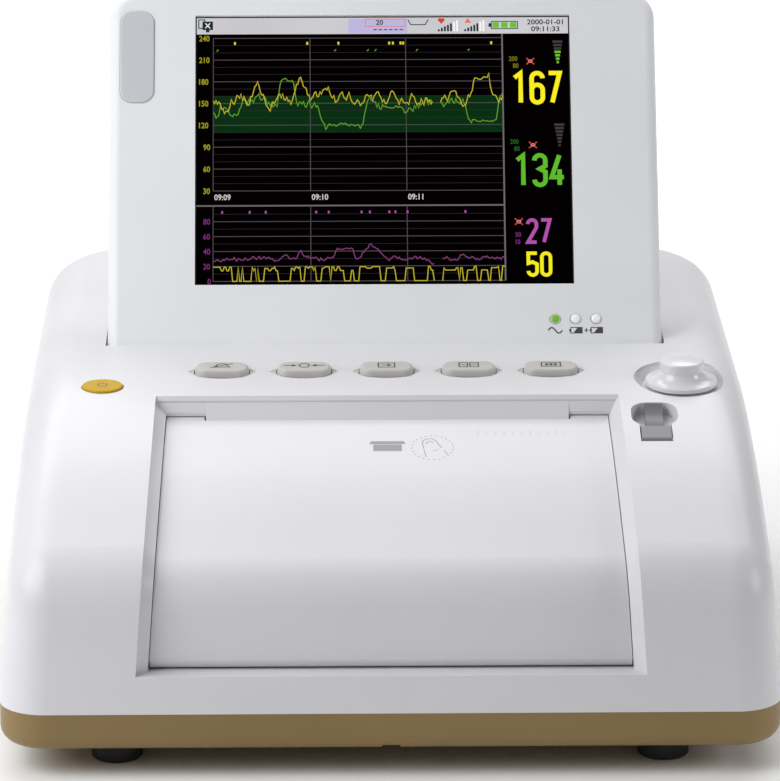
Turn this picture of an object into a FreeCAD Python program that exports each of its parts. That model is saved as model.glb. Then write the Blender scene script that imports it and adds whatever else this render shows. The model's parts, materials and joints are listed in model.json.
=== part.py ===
# Fetal monitor: a case with a fold-down screen and a strip chart recorder behind a front door.
# X runs to the right of the person in front of it, Y to the back and Z up from the table.
import FreeCAD, Part
import math
import os
import Sketcher

# Driving dimensions in millimetres and degrees
SIZES = {
    # case
    "case_width": 332.0,
    "case_depth": 368.0,
    "foot_height": 12.0,
    "tray_height": 17.0,
    "draft": 4.0,
    "wall": 3.0,
    "front_wall": 42.5,
    "bend_radius": 32.0,
    "slope_angle": 28.0,
    "slope_run": 24.0,
    "crown_radius": 280.0,
    "top_angle": 1.0,
    "edge_radius": 20.0,
    "rear_corner": 45.0,
    "tray_edge": 7.0,
    # folding screen and its bay
    "screen_width": 250.0,
    "screen_length": 171.0,
    "screen_thickness": 26.0,
    "screen_tilt": 31.4,
    "screen_corner": 12.0,
    "screen_edge": 4.8,
    "screen_back_edge": 8.0,
    "screen_wall": 2.0,
    "bezel_depth": 10.0,
    "hinge_drop": 5.0,
    "hinge_bar": 6.5,
    "hinge_pin_radius": 2.5,
    "hinge_seat": 10.0,
    "hinge_pin_reach": 18.0,
    "bay_front": 176.0,
    "bay_gap": 0.8,
    "bay_clear": 2.0,
    "lcd_width": 170.4,
    "lcd_height": 127.8,
    "lcd_bottom": 30.8,
    "lcd_margin": 7.0,
    "lcd_thickness": 6.0,
    "glass_thickness": 1.2,
    "window_gap": 0.6,
    "lamp_left": 120.2,
    "lamp_width": 15.6,
    "lamp_bottom": 117.0,
    "lamp_length": 44.5,
    "lamp_corner": 6.0,
    "lamp_proud": 0.7,
    "lamp_gap": 0.15,
    "lamp_flange": 1.5,
    "lamp_round": 0.6,
    "indicator_count": 3.0,
    "indicator_radius": 2.4,
    "indicator_first": 76.8,
    "indicator_pitch": 9.2,
    "indicator_height": 13.6,
    "indicator_flange": 1.0,
    "indicator_proud": 0.3,
    "display_board_width": 120.0,
    "display_board_height": 70.0,
    "lcd_post_x": 80.0,
    "lcd_post_y": 50.0,
    "screen_screw_x": 112.0,
    "screen_screw_low": 20.0,
    "screen_screw_high": 100.0,
    "screen_screw_seat": 4.0,
    "screen_screw_bite": 6.0,
    "screen_post": 4.0,
    # recorder door
    "recess_angle": 12.2,
    "recess_depth": 8.0,
    "recess_bevel": 5.0,
    "recess_lip": 1.6,
    "recess_base": 16.3,
    "recess_half_width": 107.6,
    "recess_rim": 4.0,
    "frame_depth": 14.5,
    "door_gap": 0.35,
    "door_wall": 3.0,
    "door_stop": 2.5,
    "door_stop_gap": 0.3,
    "door_barrel": 4.0,
    "door_top_gap": 2.0,
    "notch_width": 160.0,
    "notch_depth": 4.3,
    "door_pin_radius": 1.5,
    "door_pin_length": 14.0,
    "door_pin_seat": 6.0,
    # keys
    "key_count": 5.0,
    "key_angle": 6.8,
    "key_pitch": 36.4,
    "key_width": 24.0,
    "key_depth": 12.0,
    "key_corner": 5.2,
    "key_rise": 2.8,
    "key_lean": 12.0,
    "key_round": 1.6,
    "key_gap": 0.35,
    "key_flange": 1.2,
    "key_flange_height": 2.0,
    "key_stem_radius": 2.0,
    "key_stem": 3.0,
    "socket_length": 30.0,
    "socket_depth": 15.5,
    "socket_sink": 1.2,
    "seat_gap": 0.45,
    "switch_size": 6.0,
    "switch_height": 2.4,
    "board_thickness": 1.6,
    "key_board_depth": 20.0,
    "key_post_radius": 2.5,
    "board_drop": 9.0,
    "power_angle": 10.0,
    "power_offset": 125.0,
    "power_width": 18.0,
    "power_depth": 12.6,
    "power_rise": 1.0,
    "power_round": 0.8,
    "power_board_depth": 12.0,
    # push knob
    "knob_angle": 8.65,
    "knob_offset": 130.0,
    "knob_lean": 3.0,
    "knob_skirt": 15.8,
    "knob_waist": 9.6,
    "knob_top": 9.9,
    "knob_rim": 8.8,
    "knob_dome": 0.8,
    "knob_rim_round": 0.8,
    "knob_skirt_height": 1.7,
    "knob_waist_height": 4.0,
    "knob_cove": 6.2,
    "knob_bore": 5.4,
    "dish_radius": 21.0,
    "dish_floor": 17.4,
    "dish_sink": 3.6,
    "encoder_size": 14.0,
    "encoder_height": 7.0,
    "encoder_wall": 1.4,
    "plunger_radius": 4.7,
    "plunger_height": 1.5,
    "shaft_radius": 3.0,
    "shaft_fit": 0.05,
    "knob_travel": 1.0,
    # door latch
    "latch_angle": 16.9,
    "latch_offset": 116.0,
    "latch_scoop_width": 20.4,
    "latch_scoop_length": 19.0,
    "latch_scoop_middle": 7.5,
    "latch_scoop_sink": 6.0,
    "scoop_slope": 12.0,
    "scoop_corner": 5.9,
    "latch_tab_front": 13.5,
    "latch_tab_width": 13.0,
    "latch_tab_length": 11.0,
    "latch_neck": 7.8,
    "latch_reach": 18.3,
    "latch_end_drop": 0.5,
    "latch_leg_radius": 18.0,
    "latch_thickness": 2.6,
    "latch_pin_radius": 1.2,
    "latch_barrel": 2.2,
    "latch_gap": 0.5,
    # chart recorder
    "paper_width": 152.0,
    "tray_half_width": 94.0,
    "tray_front": 20.0,
    "tray_gap": 10.0,
    "tray_floor": 36.0,
    "tray_wall": 2.0,
    "tray_inset": 12.2,
    "guide_thickness": 2.0,
    "guide_height": 24.0,
    "guide_gap": 0.5,
    "platen_setback": 7.3,
    "platen_drop": 24.6,
    "platen_radius": 8.5,
    "platen_length": 154.0,
    "platen_shaft_radius": 3.0,
    "shaft_end": 1.0,
    "bush_radius": 5.0,
    "bush_length": 5.4,
    "plate_thickness": 2.0,
    "plate_offset": 80.0,
    "plate_length": 46.0,
    "plate_fall": 50.5,
    "plate_rise": 6.5,
    "fit_gap": 0.05,
    "gear_module": 0.8,
    "gear_width": 5.0,
    "platen_teeth": 20.0,
    "idler_teeth": 26.0,
    "pinion_teeth": 12.0,
    "gear_plane": 84.0,
    "tooth_play": 0.15,
    "tooth_tip": 0.7,
    "tooth_root": 1.25,
    "pressure_angle": 20.0,
    "train_fall": 60.0,
    "stud_radius": 2.0,
    "stud_collar": 4.0,
    "motor_radius": 17.5,
    "motor_length": 22.0,
    "motor_boss": 5.0,
    "motor_shaft_radius": 1.5,
    "head_drop": 8.5,
    "head_height": 16.0,
    "head_thickness": 3.0,
    "head_gap": 0.3,
    "sink_depth": 9.0,
    "sink_fins": 12.0,
    "sink_fin": 2.0,
    "tear_height": 2.5,
    "tear_thickness": 2.0,
    # electronics
    "main_board_width": 190.0,
    "main_board_length": 100.0,
    "main_board_level": 52.0,
    "main_board_back": 39.0,
    "board_gap": 8.0,
    "post_radius": 4.0,
    "post_inset": 8.0,
    "chip_size": 28.0,
    "chip_height": 2.5,
    "plug_count": 3.0,
    "plug_pitch": 48.0,
    "plug_width": 40.0,
    "plug_depth": 8.0,
    "plug_height": 9.0,
    "supply_width": 34.0,
    "supply_length": 95.0,
    "supply_height": 38.0,
    "supply_inset": 29.0,
    "supply_back": 39.0,
    "battery_width": 84.0,
    "battery_length": 62.0,
    "battery_height": 21.0,
    "battery_offset": 30.0,
    "battery_front": -35.0,
    "battery_gap": 0.6,
    "battery_lip": 7.0,
    "battery_cover": 2.0,
    "battery_pad": 6.0,
    "battery_screw": 1.25,
    "battery_screw_head": 2.2,
    "battery_screw_sink": 1.0,
    "battery_screw_bite": 3.0,
    "speaker_radius": 26.0,
    "speaker_rim": 3.0,
    "speaker_magnet": 14.0,
    "speaker_height": 14.0,
    "speaker_inset": 44.0,
    "speaker_back": 94.0,
    "grille_radius": 22.0,
    "grille_slots": 7.0,
    "grille_pitch": 6.0,
    "grille_slot": 2.4,
    # side connectors
    "panel_front": 122.0,
    "panel_length": 108.0,
    "panel_bottom": 44.0,
    "panel_height": 30.0,
    "panel_sink": 5.0,
    "panel_thickness": 3.0,
    "panel_lip": 4.0,
    "panel_gap": 0.3,
    "panel_corner": 4.0,
    "port_count": 4.0,
    "port_pitch": 25.0,
    "port_bore": 6.0,
    "port_barrel": 8.0,
    "port_flange": 10.0,
    "port_reach": 16.0,
    "port_depth": 13.0,
    "flange_height": 1.5,
    # rear panel
    "rear_width": 150.0,
    "rear_bottom": 42.0,
    "rear_height": 34.0,
    "rear_sink": 14.0,
    "inlet_offset": -42.0,
    "inlet_width": 27.0,
    "inlet_height": 20.0,
    "inlet_depth": 22.0,
    "inlet_rim": 2.0,
    "inlet_wall": 2.0,
    "blade_width": 4.0,
    "blade_thickness": 2.0,
    "blade_length": 12.0,
    "blade_pitch": 7.0,
    "network_offset": 45.0,
    "network_width": 16.0,
    "network_height": 14.0,
    "network_depth": 16.0,
    "network_mouth": 11.7,
    "network_mouth_height": 8.0,
    "network_reach": 12.0,
    "earth_offset": 5.0,
    "earth_radius": 3.0,
    "earth_reach": 8.0,
    # base fittings
    "foot_radius": 11.0,
    "foot_boss": 4.0,
    "foot_edge": 1.0,
    "foot_peg": 3.0,
    "foot_spread": 117.0,
    "foot_setback": 30.0,
    "foot_back": 38.0,
    "screw_inset": 20.0,
    "screw_radius": 1.5,
    "screw_head": 3.0,
    "screw_head_height": 2.0,
    "screw_boss": 4.5,
    "screw_depth": 16.0,
    "screw_front": 32.0,
    "screw_middle": 100.0,
    "screw_back": 60.0,
    "trolley_pitch_x": 100.0,
    "trolley_pitch_y": 100.0,
    "trolley_hole": 1.65,
    "trolley_boss": 5.0,
    "trolley_depth": 9.0,
    "vent_slots": 9.0,
    "vent_pitch": 7.0,
    "vent_slot": 3.0,
    "vent_length": 40.0,
    "vent_offset": -40.0,
    "support_radius": 5.0,
    "tray_support_x": 80.0,
    "tray_support_inset": 10.0,
    "chassis_support_x": 60.0,
    "base_notch_width": 7.6,
    "base_notch_height": 2.2,
    "base_notch_depth": 9.0,
}

# Angle between faces above which an edge counts as sharp, the closest two points may lie, and a
# radian in degrees
SHARP = 25.0
TOUCH = 0.01
DEGREES = 180 / math.pi

# The case width that the layout is drawn for, and the sizes across the case that follow its width
WIDTH_DRAWN = 332.0
ACROSS = (
    "screen_width", "lcd_width", "lamp_left", "indicator_first", "lcd_post_x", "screen_screw_x",
    "recess_half_width", "notch_width", "key_pitch", "power_offset", "knob_offset", "latch_offset",
    "paper_width", "tray_half_width", "platen_length", "plate_offset", "gear_plane", "foot_spread",
    "tray_support_x", "chassis_support_x",
)

doc = FreeCAD.newDocument("fetal_monitor")
sheet = doc.addObject("Spreadsheet::Sheet", "Sizes")
for row, (alias, value) in enumerate(SIZES.items(), start=1):
    sheet.set(f"A{row}", alias)
    sheet.set(f"B{row}", str(value))
    sheet.setAlias(f"B{row}", alias)
doc.recompute()


class Dim:
    """A length or angle that keeps its value together with its formula on the sheet."""

    def __init__(self, formula, value):
        self.formula = formula
        self.value = value

    def __add__(self, other):
        other = as_dim(other)
        return Dim(f"({self.formula} + {other.formula})", self.value + other.value)

    def __sub__(self, other):
        other = as_dim(other)
        return Dim(f"({self.formula} - {other.formula})", self.value - other.value)

    def __mul__(self, other):
        other = as_dim(other)
        return Dim(f"({self.formula} * {other.formula})", self.value * other.value)

    def __truediv__(self, other):
        other = as_dim(other)
        return Dim(f"({self.formula} / {other.formula})", self.value / other.value)

    def __radd__(self, other):
        return as_dim(other) + self

    def __rsub__(self, other):
        return as_dim(other) - self

    def __rmul__(self, other):
        return as_dim(other) * self

    def __neg__(self):
        return Dim(f"(0 - {self.formula})", -self.value)


def as_dim(number):
    if isinstance(number, Dim):
        return number
    return Dim(f"({float(number)!r})", float(number))


def sin(angle):
    return Dim(f"sin({angle.formula})", math.sin(math.radians(angle.value)))


def cos(angle):
    return Dim(f"cos({angle.formula})", math.cos(math.radians(angle.value)))


def tan(angle):
    return Dim(f"tan({angle.formula})", math.tan(math.radians(angle.value)))


class SheetSizes:
    """Reads a driving dimension back from the sheet by its alias, in step with the case width if
    it runs across the case."""

    def __getattr__(self, alias):
        size = Dim(f"Sizes.{alias}", float(sheet.get(alias)))
        return size * (self.case_width / WIDTH_DRAWN) if alias in ACROSS else size


s = SheetSizes()


def bind(item, prop, dim):
    item.setExpression(prop, as_dim(dim).formula)


# Outlines: each of these returns a function that draws itself into a sketch
def as_point(pair):
    return (as_dim(pair[0]), as_dim(pair[1]))


def pin_point(sketch, geometry, vertex, point):
    for kind, dim in (("DistanceX", point[0]), ("DistanceY", point[1])):
        index = sketch.addConstraint(Sketcher.Constraint(kind, -1, 1, geometry, vertex, dim.value))
        sketch.setExpression(f"Constraints[{index}]", dim.formula)


def arc_between(start, end, radius):
    """The short arc of that radius from start to end, turning left for a positive radius."""
    first, last = (start, end) if radius > 0 else (end, start)
    chord = last - first
    half = chord.Length / 2
    rise = math.sqrt(max(radius * radius - half * half, 0.0))
    left = FreeCAD.Vector(-chord.y, chord.x, 0).normalize()
    centre = (first + last) * 0.5 + left * rise
    begin = math.atan2(first.y - centre.y, first.x - centre.x)
    finish = math.atan2(last.y - centre.y, last.x - centre.x)
    circle = Part.Circle(centre, FreeCAD.Vector(0, 0, 1), abs(radius))
    return Part.ArcOfCircle(circle, begin, finish)


def polygon(start, *moves):
    """A closed outline. A move is (x, y) for a straight run or (x, y, radius) for an arc, whose
    radius is positive where it turns left. A straight run closes an outline left open."""
    points = [as_point(start)] + [as_point(move[:2]) for move in moves]
    radii = [as_dim(move[2]) if len(move) == 3 else None for move in moves] + [None]
    spread = [abs(end.value - begin.value) for begin, end in zip(points[0], points[-1])]
    if max(spread) < TOUCH:
        points.pop()
        radii.pop()
    count = len(points)

    def paint(sketch):
        spots = [FreeCAD.Vector(x.value, y.value, 0) for x, y in points]
        runs = []
        for i in range(count):
            near, far = spots[i], spots[(i + 1) % count]
            if radii[i] is None:
                runs.append((sketch.addGeometry(Part.LineSegment(near, far), False), 1, 2))
                continue
            radius = radii[i]
            arc = sketch.addGeometry(arc_between(near, far, radius.value), False)
            runs.append((arc, 1, 2) if radius.value > 0 else (arc, 2, 1))
            size = radius if radius.value > 0 else -radius
            index = sketch.addConstraint(Sketcher.Constraint("Radius", arc, size.value))
            sketch.setExpression(f"Constraints[{index}]", size.formula)
        for i in range(count):
            geometry, near_end, far_end = runs[i]
            follower, follower_start, _ = runs[(i + 1) % count]
            joint = Sketcher.Constraint("Coincident", geometry, far_end, follower, follower_start)
            sketch.addConstraint(joint)
            pin_point(sketch, geometry, near_end, points[i])

    return paint


def rounded(x, y, half_x, half_y, radius):
    """A rectangle about (x, y) with rounded corners."""
    left, right, low, high = x - half_x, x + half_x, y - half_y, y + half_y
    return polygon(
        (left + radius, low),
        (right - radius, low),
        (right, low + radius, radius),
        (right, high - radius),
        (right - radius, high, radius),
        (left + radius, high),
        (left, high - radius, radius),
        (left, low + radius),
        (left + radius, low, radius),
    )


def rectangle(x, y, half_x, half_y):
    left, right, low, high = x - half_x, x + half_x, y - half_y, y + half_y
    return polygon((left, low), (right, low), (right, high), (left, high))


def circle(x, y, radius):
    centre = as_point((x, y))
    radius = as_dim(radius)

    def paint(sketch):
        middle = FreeCAD.Vector(centre[0].value, centre[1].value, 0)
        ring = Part.Circle(middle, FreeCAD.Vector(0, 0, 1), radius.value)
        geometry = sketch.addGeometry(ring, False)
        index = sketch.addConstraint(Sketcher.Constraint("Radius", geometry, radius.value))
        sketch.setExpression(f"Constraints[{index}]", radius.formula)
        pin_point(sketch, geometry, 3, centre)

    return paint


# Solids
PLANES = {"XY": ("XY_Plane", 1, False), "XZ": ("XZ_Plane", -1, True), "YZ": ("YZ_Plane", 1, False)}


def sketch_on(body, plane, at, paint):
    role, sign, _ = PLANES[plane]
    sketch = body.newObject("Sketcher::SketchObject", body.Name + "_sketch")
    origin_plane = next(item for item in body.Origin.OriginFeatures if item.Role == role)
    sketch.AttachmentSupport = [(origin_plane, "")]
    sketch.MapMode = "FlatFace"
    bind(sketch, "AttachmentOffset.Base.z", sign * as_dim(at))
    paint(sketch)
    return sketch


def prism(name, plane, paint, length, at=0, both=False, taper=None):
    """Extrudes an outline from the level at, towards the positive axis or to both sides."""
    body = doc.addObject("PartDesign::Body", name)
    sketch = sketch_on(body, plane, at, paint)
    pad = body.newObject("PartDesign::Pad", name + "_pad")
    pad.Profile = sketch
    pad.Reversed = PLANES[plane][2]
    if both:
        pad.SideType = "Symmetric"
    bind(pad, "Length", length)
    if taper is not None:
        bind(pad, "TaperAngle", taper)
    return body


def turned(name, paint):
    """Revolves an outline, drawn as radius and height, about the Z axis."""
    body = doc.addObject("PartDesign::Body", name)
    sketch = sketch_on(body, "XZ", 0, paint)
    turn = body.newObject("PartDesign::Revolution", name + "_turn")
    turn.Profile = sketch
    turn.ReferenceAxis = (sketch, ["V_Axis"])
    turn.Angle = 360
    return body


def block(name, low, high):
    box = doc.addObject("Part::Box", name)
    for prop, axis, start, end in zip(("Length", "Width", "Height"), "xyz", low, high):
        bind(box, prop, as_dim(end) - start)
        bind(box, f"Placement.Base.{axis}", start)
    return box


TURNS = {
    "X": FreeCAD.Rotation(FreeCAD.Vector(0, 1, 0), 90),
    "Y": FreeCAD.Rotation(FreeCAD.Vector(1, 0, 0), -90),
    "Z": FreeCAD.Rotation(),
}


def move_to(item, place):
    for axis, dim in zip("xyz", place):
        bind(item, f"Placement.Base.{axis}", dim)


def rod(name, radius, length, place, along="Z"):
    cylinder = doc.addObject("Part::Cylinder", name)
    bind(cylinder, "Radius", radius)
    bind(cylinder, "Height", length)
    cylinder.Placement = FreeCAD.Placement(FreeCAD.Vector(), TURNS[along])
    move_to(cylinder, place)
    return cylinder


def tilt(item, place, angle):
    """Turns a piece about the X axis and moves it to its place."""
    angle = as_dim(angle)
    turn = FreeCAD.Rotation(FreeCAD.Vector(1, 0, 0), angle.value)
    item.Placement = FreeCAD.Placement(FreeCAD.Vector(), turn)
    bind(item, "Placement.Rotation.Angle", angle)
    move_to(item, place)
    return item


def fuse(name, *pieces):
    joined = doc.addObject("Part::MultiFuse", name)
    joined.Shapes = list(pieces)
    return joined


def group(name, pieces):
    together = doc.addObject("Part::Compound", name)
    together.Links = list(pieces)
    return together


def cut(name, base, *tools):
    result = doc.addObject("Part::Cut", name)
    result.Base = base
    result.Tool = tools[0] if len(tools) == 1 else fuse(name + "_tools", *tools)
    return result


def common(name, first, second):
    result = doc.addObject("Part::Common", name)
    result.Base = first
    result.Tool = second
    return result


def edge_turn(shape, edge):
    """The angle between the two faces that meet at the middle of an edge."""
    faces = shape.ancestorsOfType(edge, Part.Face)
    if len(faces) < 2:
        return 0.0
    middle = edge.valueAt((edge.FirstParameter + edge.LastParameter) / 2)
    normals = [face.normalAt(*face.Surface.parameter(middle)) for face in faces[:2]]
    return math.degrees(normals[0].getAngle(normals[1]))


def dressed(name, source, kind, chosen, **sizes):
    """Rounds or bevels the chosen edges of a solid."""
    body = doc.addObject("PartDesign::Body", name)
    body.BaseFeature = source
    doc.recompute()
    base = body.Group[0]
    edges = [f"Edge{i}" for i, edge in enumerate(base.Shape.Edges, 1) if chosen(base.Shape, edge)]
    finish = body.newObject("PartDesign::" + kind, name + "_edges")
    finish.Base = (base, edges)
    for prop, dim in sizes.items():
        if prop == "ChamferType":
            finish.ChamferType = dim
        elif prop == "FlipDirection":
            finish.FlipDirection = dim
        else:
            bind(finish, prop, dim)
    return body


def soften(name, source, radius, chosen):
    return dressed(name, source, "Fillet", chosen, Radius=radius)


def low_end(edge):
    return edge.BoundBox.ZMin


def high_end(edge):
    return edge.BoundBox.ZMax


# Places on the case, all worked out from the driving dimensions
front = -s.case_depth / 2
back = s.case_depth / 2
border = s.foot_height + s.tray_height
lean = 90 - s.draft
bend_y = front + s.front_wall * cos(lean) + s.bend_radius * sin(lean)
bend_z = border + s.front_wall * sin(lean) - s.bend_radius * cos(lean)
crown_y = (bend_y - s.bend_radius * sin(s.slope_angle) + s.slope_run * cos(s.slope_angle)
           + s.crown_radius * sin(s.slope_angle))
crown_z = (bend_z + s.bend_radius * cos(s.slope_angle) + s.slope_run * sin(s.slope_angle)
           - s.crown_radius * cos(s.slope_angle))


def bend_point(angle, inset=0):
    reach = s.bend_radius - inset
    return (bend_y - reach * sin(angle), bend_z + reach * cos(angle))


def deck_point(angle, inset=0):
    """A point of the arched deck where its slope is that angle."""
    reach = s.crown_radius - inset
    return (crown_y - reach * sin(angle), crown_z + reach * cos(angle))


def wall_point(height, inset=0):
    """A point of the front wall at that height."""
    return (front + (height - border) * tan(s.draft) + inset / cos(s.draft), height)


def top_height(y):
    top_y, top_z = deck_point(s.top_angle)
    return top_z + (y - top_y) * tan(s.top_angle)


hinge_y = front + s.bay_front + s.hinge_drop + s.bay_gap
hinge_z = top_height(hinge_y) - s.hinge_drop
bay_floor = hinge_z - (s.screen_thickness - s.hinge_drop) - s.bay_clear
bay_back = hinge_y + s.screen_length + s.bay_gap
bay_half = s.screen_width / 2 + s.bay_gap
ledge = border + s.recess_base
opening_half = s.recess_half_width - s.recess_bevel
door_half = opening_half - s.door_gap
door_axis = wall_point(ledge + s.door_gap + s.door_barrel, s.recess_depth + s.door_barrel)
far_out = s.case_width + s.case_depth
floor_top = s.foot_height + s.wall


def rear_wall(height, inset=0):
    """How far back the rear wall lies at that height."""
    return back - (height - border) * tan(s.draft) - inset / cos(s.draft)


def side_wall(height, inset=0):
    """Half the width of the case at that height."""
    return s.case_width / 2 - (height - border) * tan(s.draft) - inset / cos(s.draft)


def side_outline(inset, base):
    """The case seen from the side above a level, moved in by a wall thickness."""
    top_y, top_z = deck_point(s.top_angle, inset)
    rise = tan(s.top_angle)
    rear_y = rear_wall(top_z - top_y * rise, inset) / (1 + rise * tan(s.draft))
    return polygon(
        wall_point(base, inset),
        (rear_wall(base, inset), base),
        (rear_y, top_z + (rear_y - top_y) * rise),
        (top_y, top_z),
        (*deck_point(s.slope_angle, inset), s.crown_radius - inset),
        bend_point(s.slope_angle, inset),
        (*bend_point(lean, inset), s.bend_radius - inset),
    )


def front_outline(half, base, crest):
    """A front view that narrows upwards with the draft, given half its width at the base."""
    top_half = half - (crest - base) * tan(s.draft)
    return polygon((-half, base), (half, base), (top_half, crest), (-top_half, crest))


def case_form(name, inset, base):
    """The rounded case above a level, moved in by a wall thickness."""
    crest = top_height(back) + s.wall
    side = prism(name + "_side", "YZ", side_outline(inset, base), far_out, both=True)
    face_view = front_outline(side_wall(base, inset), base, crest)
    face = prism(name + "_face", "XZ", face_view, far_out, both=True)
    raw = common(name + "_raw", side, face)

    def rear_upright(shape, edge):
        upright = high_end(edge) - low_end(edge) > s.tray_height.value
        return upright and edge.BoundBox.YMin > hinge_y.value and edge_turn(shape, edge) > SHARP

    def outer_edge(shape, edge):
        return edge_turn(shape, edge) > SHARP and high_end(edge) > base.value + TOUCH

    cornered = soften(name + "_cornered", raw, s.rear_corner - inset, rear_upright)
    return soften(name, cornered, s.edge_radius - inset, outer_edge)


def on_deck(item, x, angle):
    """Sets a piece, drawn with its Z axis upright, square on the arched deck."""
    return tilt(item, (x, *deck_point(angle)), angle)


def in_screen(item):
    """Sets a piece, drawn with the hinge axis as its origin, into the raised screen."""
    return tilt(item, (0, hinge_y, hinge_z), -s.screen_tilt)


def on_knob(item):
    """Sets a piece square in the knob's dish, which leans less than the deck around it."""
    return tilt(item, (s.knob_offset, *deck_point(s.knob_angle)), s.knob_lean)


def key_spots():
    count = int(s.key_count.value)
    return [(i - (s.key_count - 1) / 2) * s.key_pitch for i in range(count)]


def corners(x, y):
    return [(x * i, y * j) for i in (-1, 1) for j in (-1, 1)]


def screw_spots():
    x = s.case_width / 2 - s.screw_inset
    rows = (front + s.screw_front, front + s.screw_middle, back - s.screw_back)
    return [(side * x, y) for side in (-1, 1) for y in rows]


# Recorder door recess
recess_top = deck_point(s.recess_angle)
frame_half = s.recess_half_width + s.recess_rim
over = s.wall
rim_angle = s.recess_rim / s.crown_radius * DEGREES
door_angle = s.recess_angle + s.door_top_gap / s.crown_radius * DEGREES
notch_angle = door_angle + s.notch_depth / s.crown_radius * DEGREES
door_inner = s.recess_depth + s.door_wall


def recess_outline(angle, inset, base):
    """Everything in front of a curve that lies that far under the outside of the case."""
    top_y, top_z = deck_point(angle, -over)
    return polygon(
        (top_y, top_z),
        deck_point(angle, inset),
        (*deck_point(s.slope_angle, inset), s.crown_radius - inset),
        bend_point(s.slope_angle, inset),
        (*bend_point(lean, inset), s.bend_radius - inset),
        wall_point(base, inset),
        (front - over, base),
        (front - over, top_z),
    )


def door_recess():
    """The bevelled recess that the door lies in."""
    side_view = recess_outline(s.recess_angle, s.recess_depth, ledge)
    side = prism("recess_side", "YZ", side_view, far_out, both=True)
    face_view = front_outline(s.recess_half_width, ledge, top_height(back))
    face = prism("recess_face", "XZ", face_view, far_out, both=True)
    raw = common("recess_raw", side, face)

    def side_edge(shape, edge):
        box = edge.BoundBox
        sideways = box.XMin > 0 or box.XMax < 0
        inside = box.YMax > front.value + s.recess_depth.value
        lengthwise = box.ZLength > TOUCH and box.ZMax < recess_top[1].value
        return sideways and inside and lengthwise and edge_turn(shape, edge) > SHARP

    return dressed("recess", raw, "Chamfer", side_edge, ChamferType="Two distances",
                   Size=s.recess_bevel, Size2=s.recess_depth)


def recess_lip():
    """A bevel along the top edge of the recess."""
    lip_angle = s.recess_angle - s.recess_lip / s.crown_radius * DEGREES
    side_view = polygon(deck_point(lip_angle), deck_point(s.recess_angle, s.recess_lip),
                        deck_point(s.recess_angle, -over), deck_point(lip_angle, -over))
    half = s.recess_half_width - (recess_top[1] - ledge) * tan(s.draft)
    return prism("recess_lip", "YZ", side_view, half * 2, both=True)


def opening():
    """The way through the case behind the door, with a stop along either side of the door."""
    layers = (("seat", opening_half, door_inner + s.door_stop_gap),
              ("way", opening_half - s.door_stop, s.frame_depth + s.wall))
    pieces = []
    for name, half, depth in layers:
        side_view = recess_outline(s.recess_angle, depth, ledge)
        side = prism(f"opening_{name}_side", "YZ", side_view, far_out, both=True)
        face_view = front_outline(half, ledge, top_height(back))
        face = prism(f"opening_{name}_face", "XZ", face_view, far_out, both=True)
        pieces.append(common("opening_" + name, side, face))
    room = s.door_barrel + s.door_gap
    foot_view = front_outline(opening_half, ledge, door_axis[1] + room)
    foot = prism("opening_foot", "XZ", foot_view, door_axis[0] + room - front, at=front)
    return fuse("opening", foot, *pieces)


def door_frame():
    """The thick rim inside the case that the recess is sunk into."""
    side_view = recess_outline(s.recess_angle - rim_angle, s.frame_depth, ledge - s.recess_rim)
    return prism("door_frame", "YZ", side_view, frame_half * 2, both=True)


def screen_bay():
    """The well that the screen folds back into."""
    radius = s.screen_corner + s.bay_gap
    bay_edge = front + s.bay_front
    plan_view = polygon(
        (-bay_half, bay_edge),
        (bay_half, bay_edge),
        (bay_half, bay_back - radius),
        (bay_half - radius, bay_back, radius),
        (-bay_half + radius, bay_back),
        (-bay_half, bay_back - radius, radius),
    )
    return prism("screen_bay", "XY", plan_view, s.case_width, at=bay_floor)


def bay_tub():
    low = (-bay_half - s.wall, front + s.bay_front - s.wall, bay_floor - s.wall)
    high = (bay_half + s.wall, bay_back + s.wall, top_height(back) + s.wall)
    return block("bay_tub", low, high)


def hinge_bosses():
    bosses = []
    for side in (-1, 1):
        inner_x = side * bay_half
        outer_x = side * (bay_half + s.hinge_seat + s.wall)
        low_x, high_x = (inner_x, outer_x) if side > 0 else (outer_x, inner_x)
        reach = s.hinge_drop * 2
        bosses.append(block(f"hinge_boss_{side + 1}", (low_x, hinge_y - reach, hinge_z - reach),
                            (high_x, hinge_y + reach, hinge_z + s.hinge_drop)))
    return bosses


def lens_outline(length, depth):
    """Two arcs that meet in a point at either end."""
    half, rise = length / 2, depth / 2
    radius = (half * half + rise * rise) / (2 * rise)
    return polygon((-half, 0), (0, -rise, radius), (half, 0, radius), (0, rise, radius),
                   (-half, 0, radius))


def key_sockets():
    """Shallow pointed dishes in the deck, each with the hole for its key."""
    tools = []
    for i, x in enumerate(key_spots(), 1):
        dish = prism(f"key_dish_{i}", "XY", lens_outline(s.socket_length, s.socket_depth),
                     s.socket_sink * 2, at=-s.socket_sink)
        hole = prism(f"key_hole_{i}", "XY",
                     rounded(0, 0, s.key_width / 2 + s.key_gap, s.key_depth / 2 + s.key_gap,
                             s.key_corner + s.key_gap),
                     s.wall * 4, both=True)
        tools.append(on_deck(fuse(f"key_socket_{i}", dish, hole), x, s.key_angle))
    return tools


def oval(name, half_x, half_y, low, high):
    ring = doc.addObject("Part::Ellipse", name + "_ring")
    bind(ring, "MajorRadius", half_x)
    bind(ring, "MinorRadius", half_y)
    bind(ring, "Placement.Base.z", low)
    solid = doc.addObject("Part::Extrusion", name)
    solid.Base = ring
    solid.DirMode = "Custom"
    solid.Dir = FreeCAD.Vector(0, 0, 1)
    solid.Solid = True
    bind(solid, "LengthFwd", as_dim(high) - low)
    return solid


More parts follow.
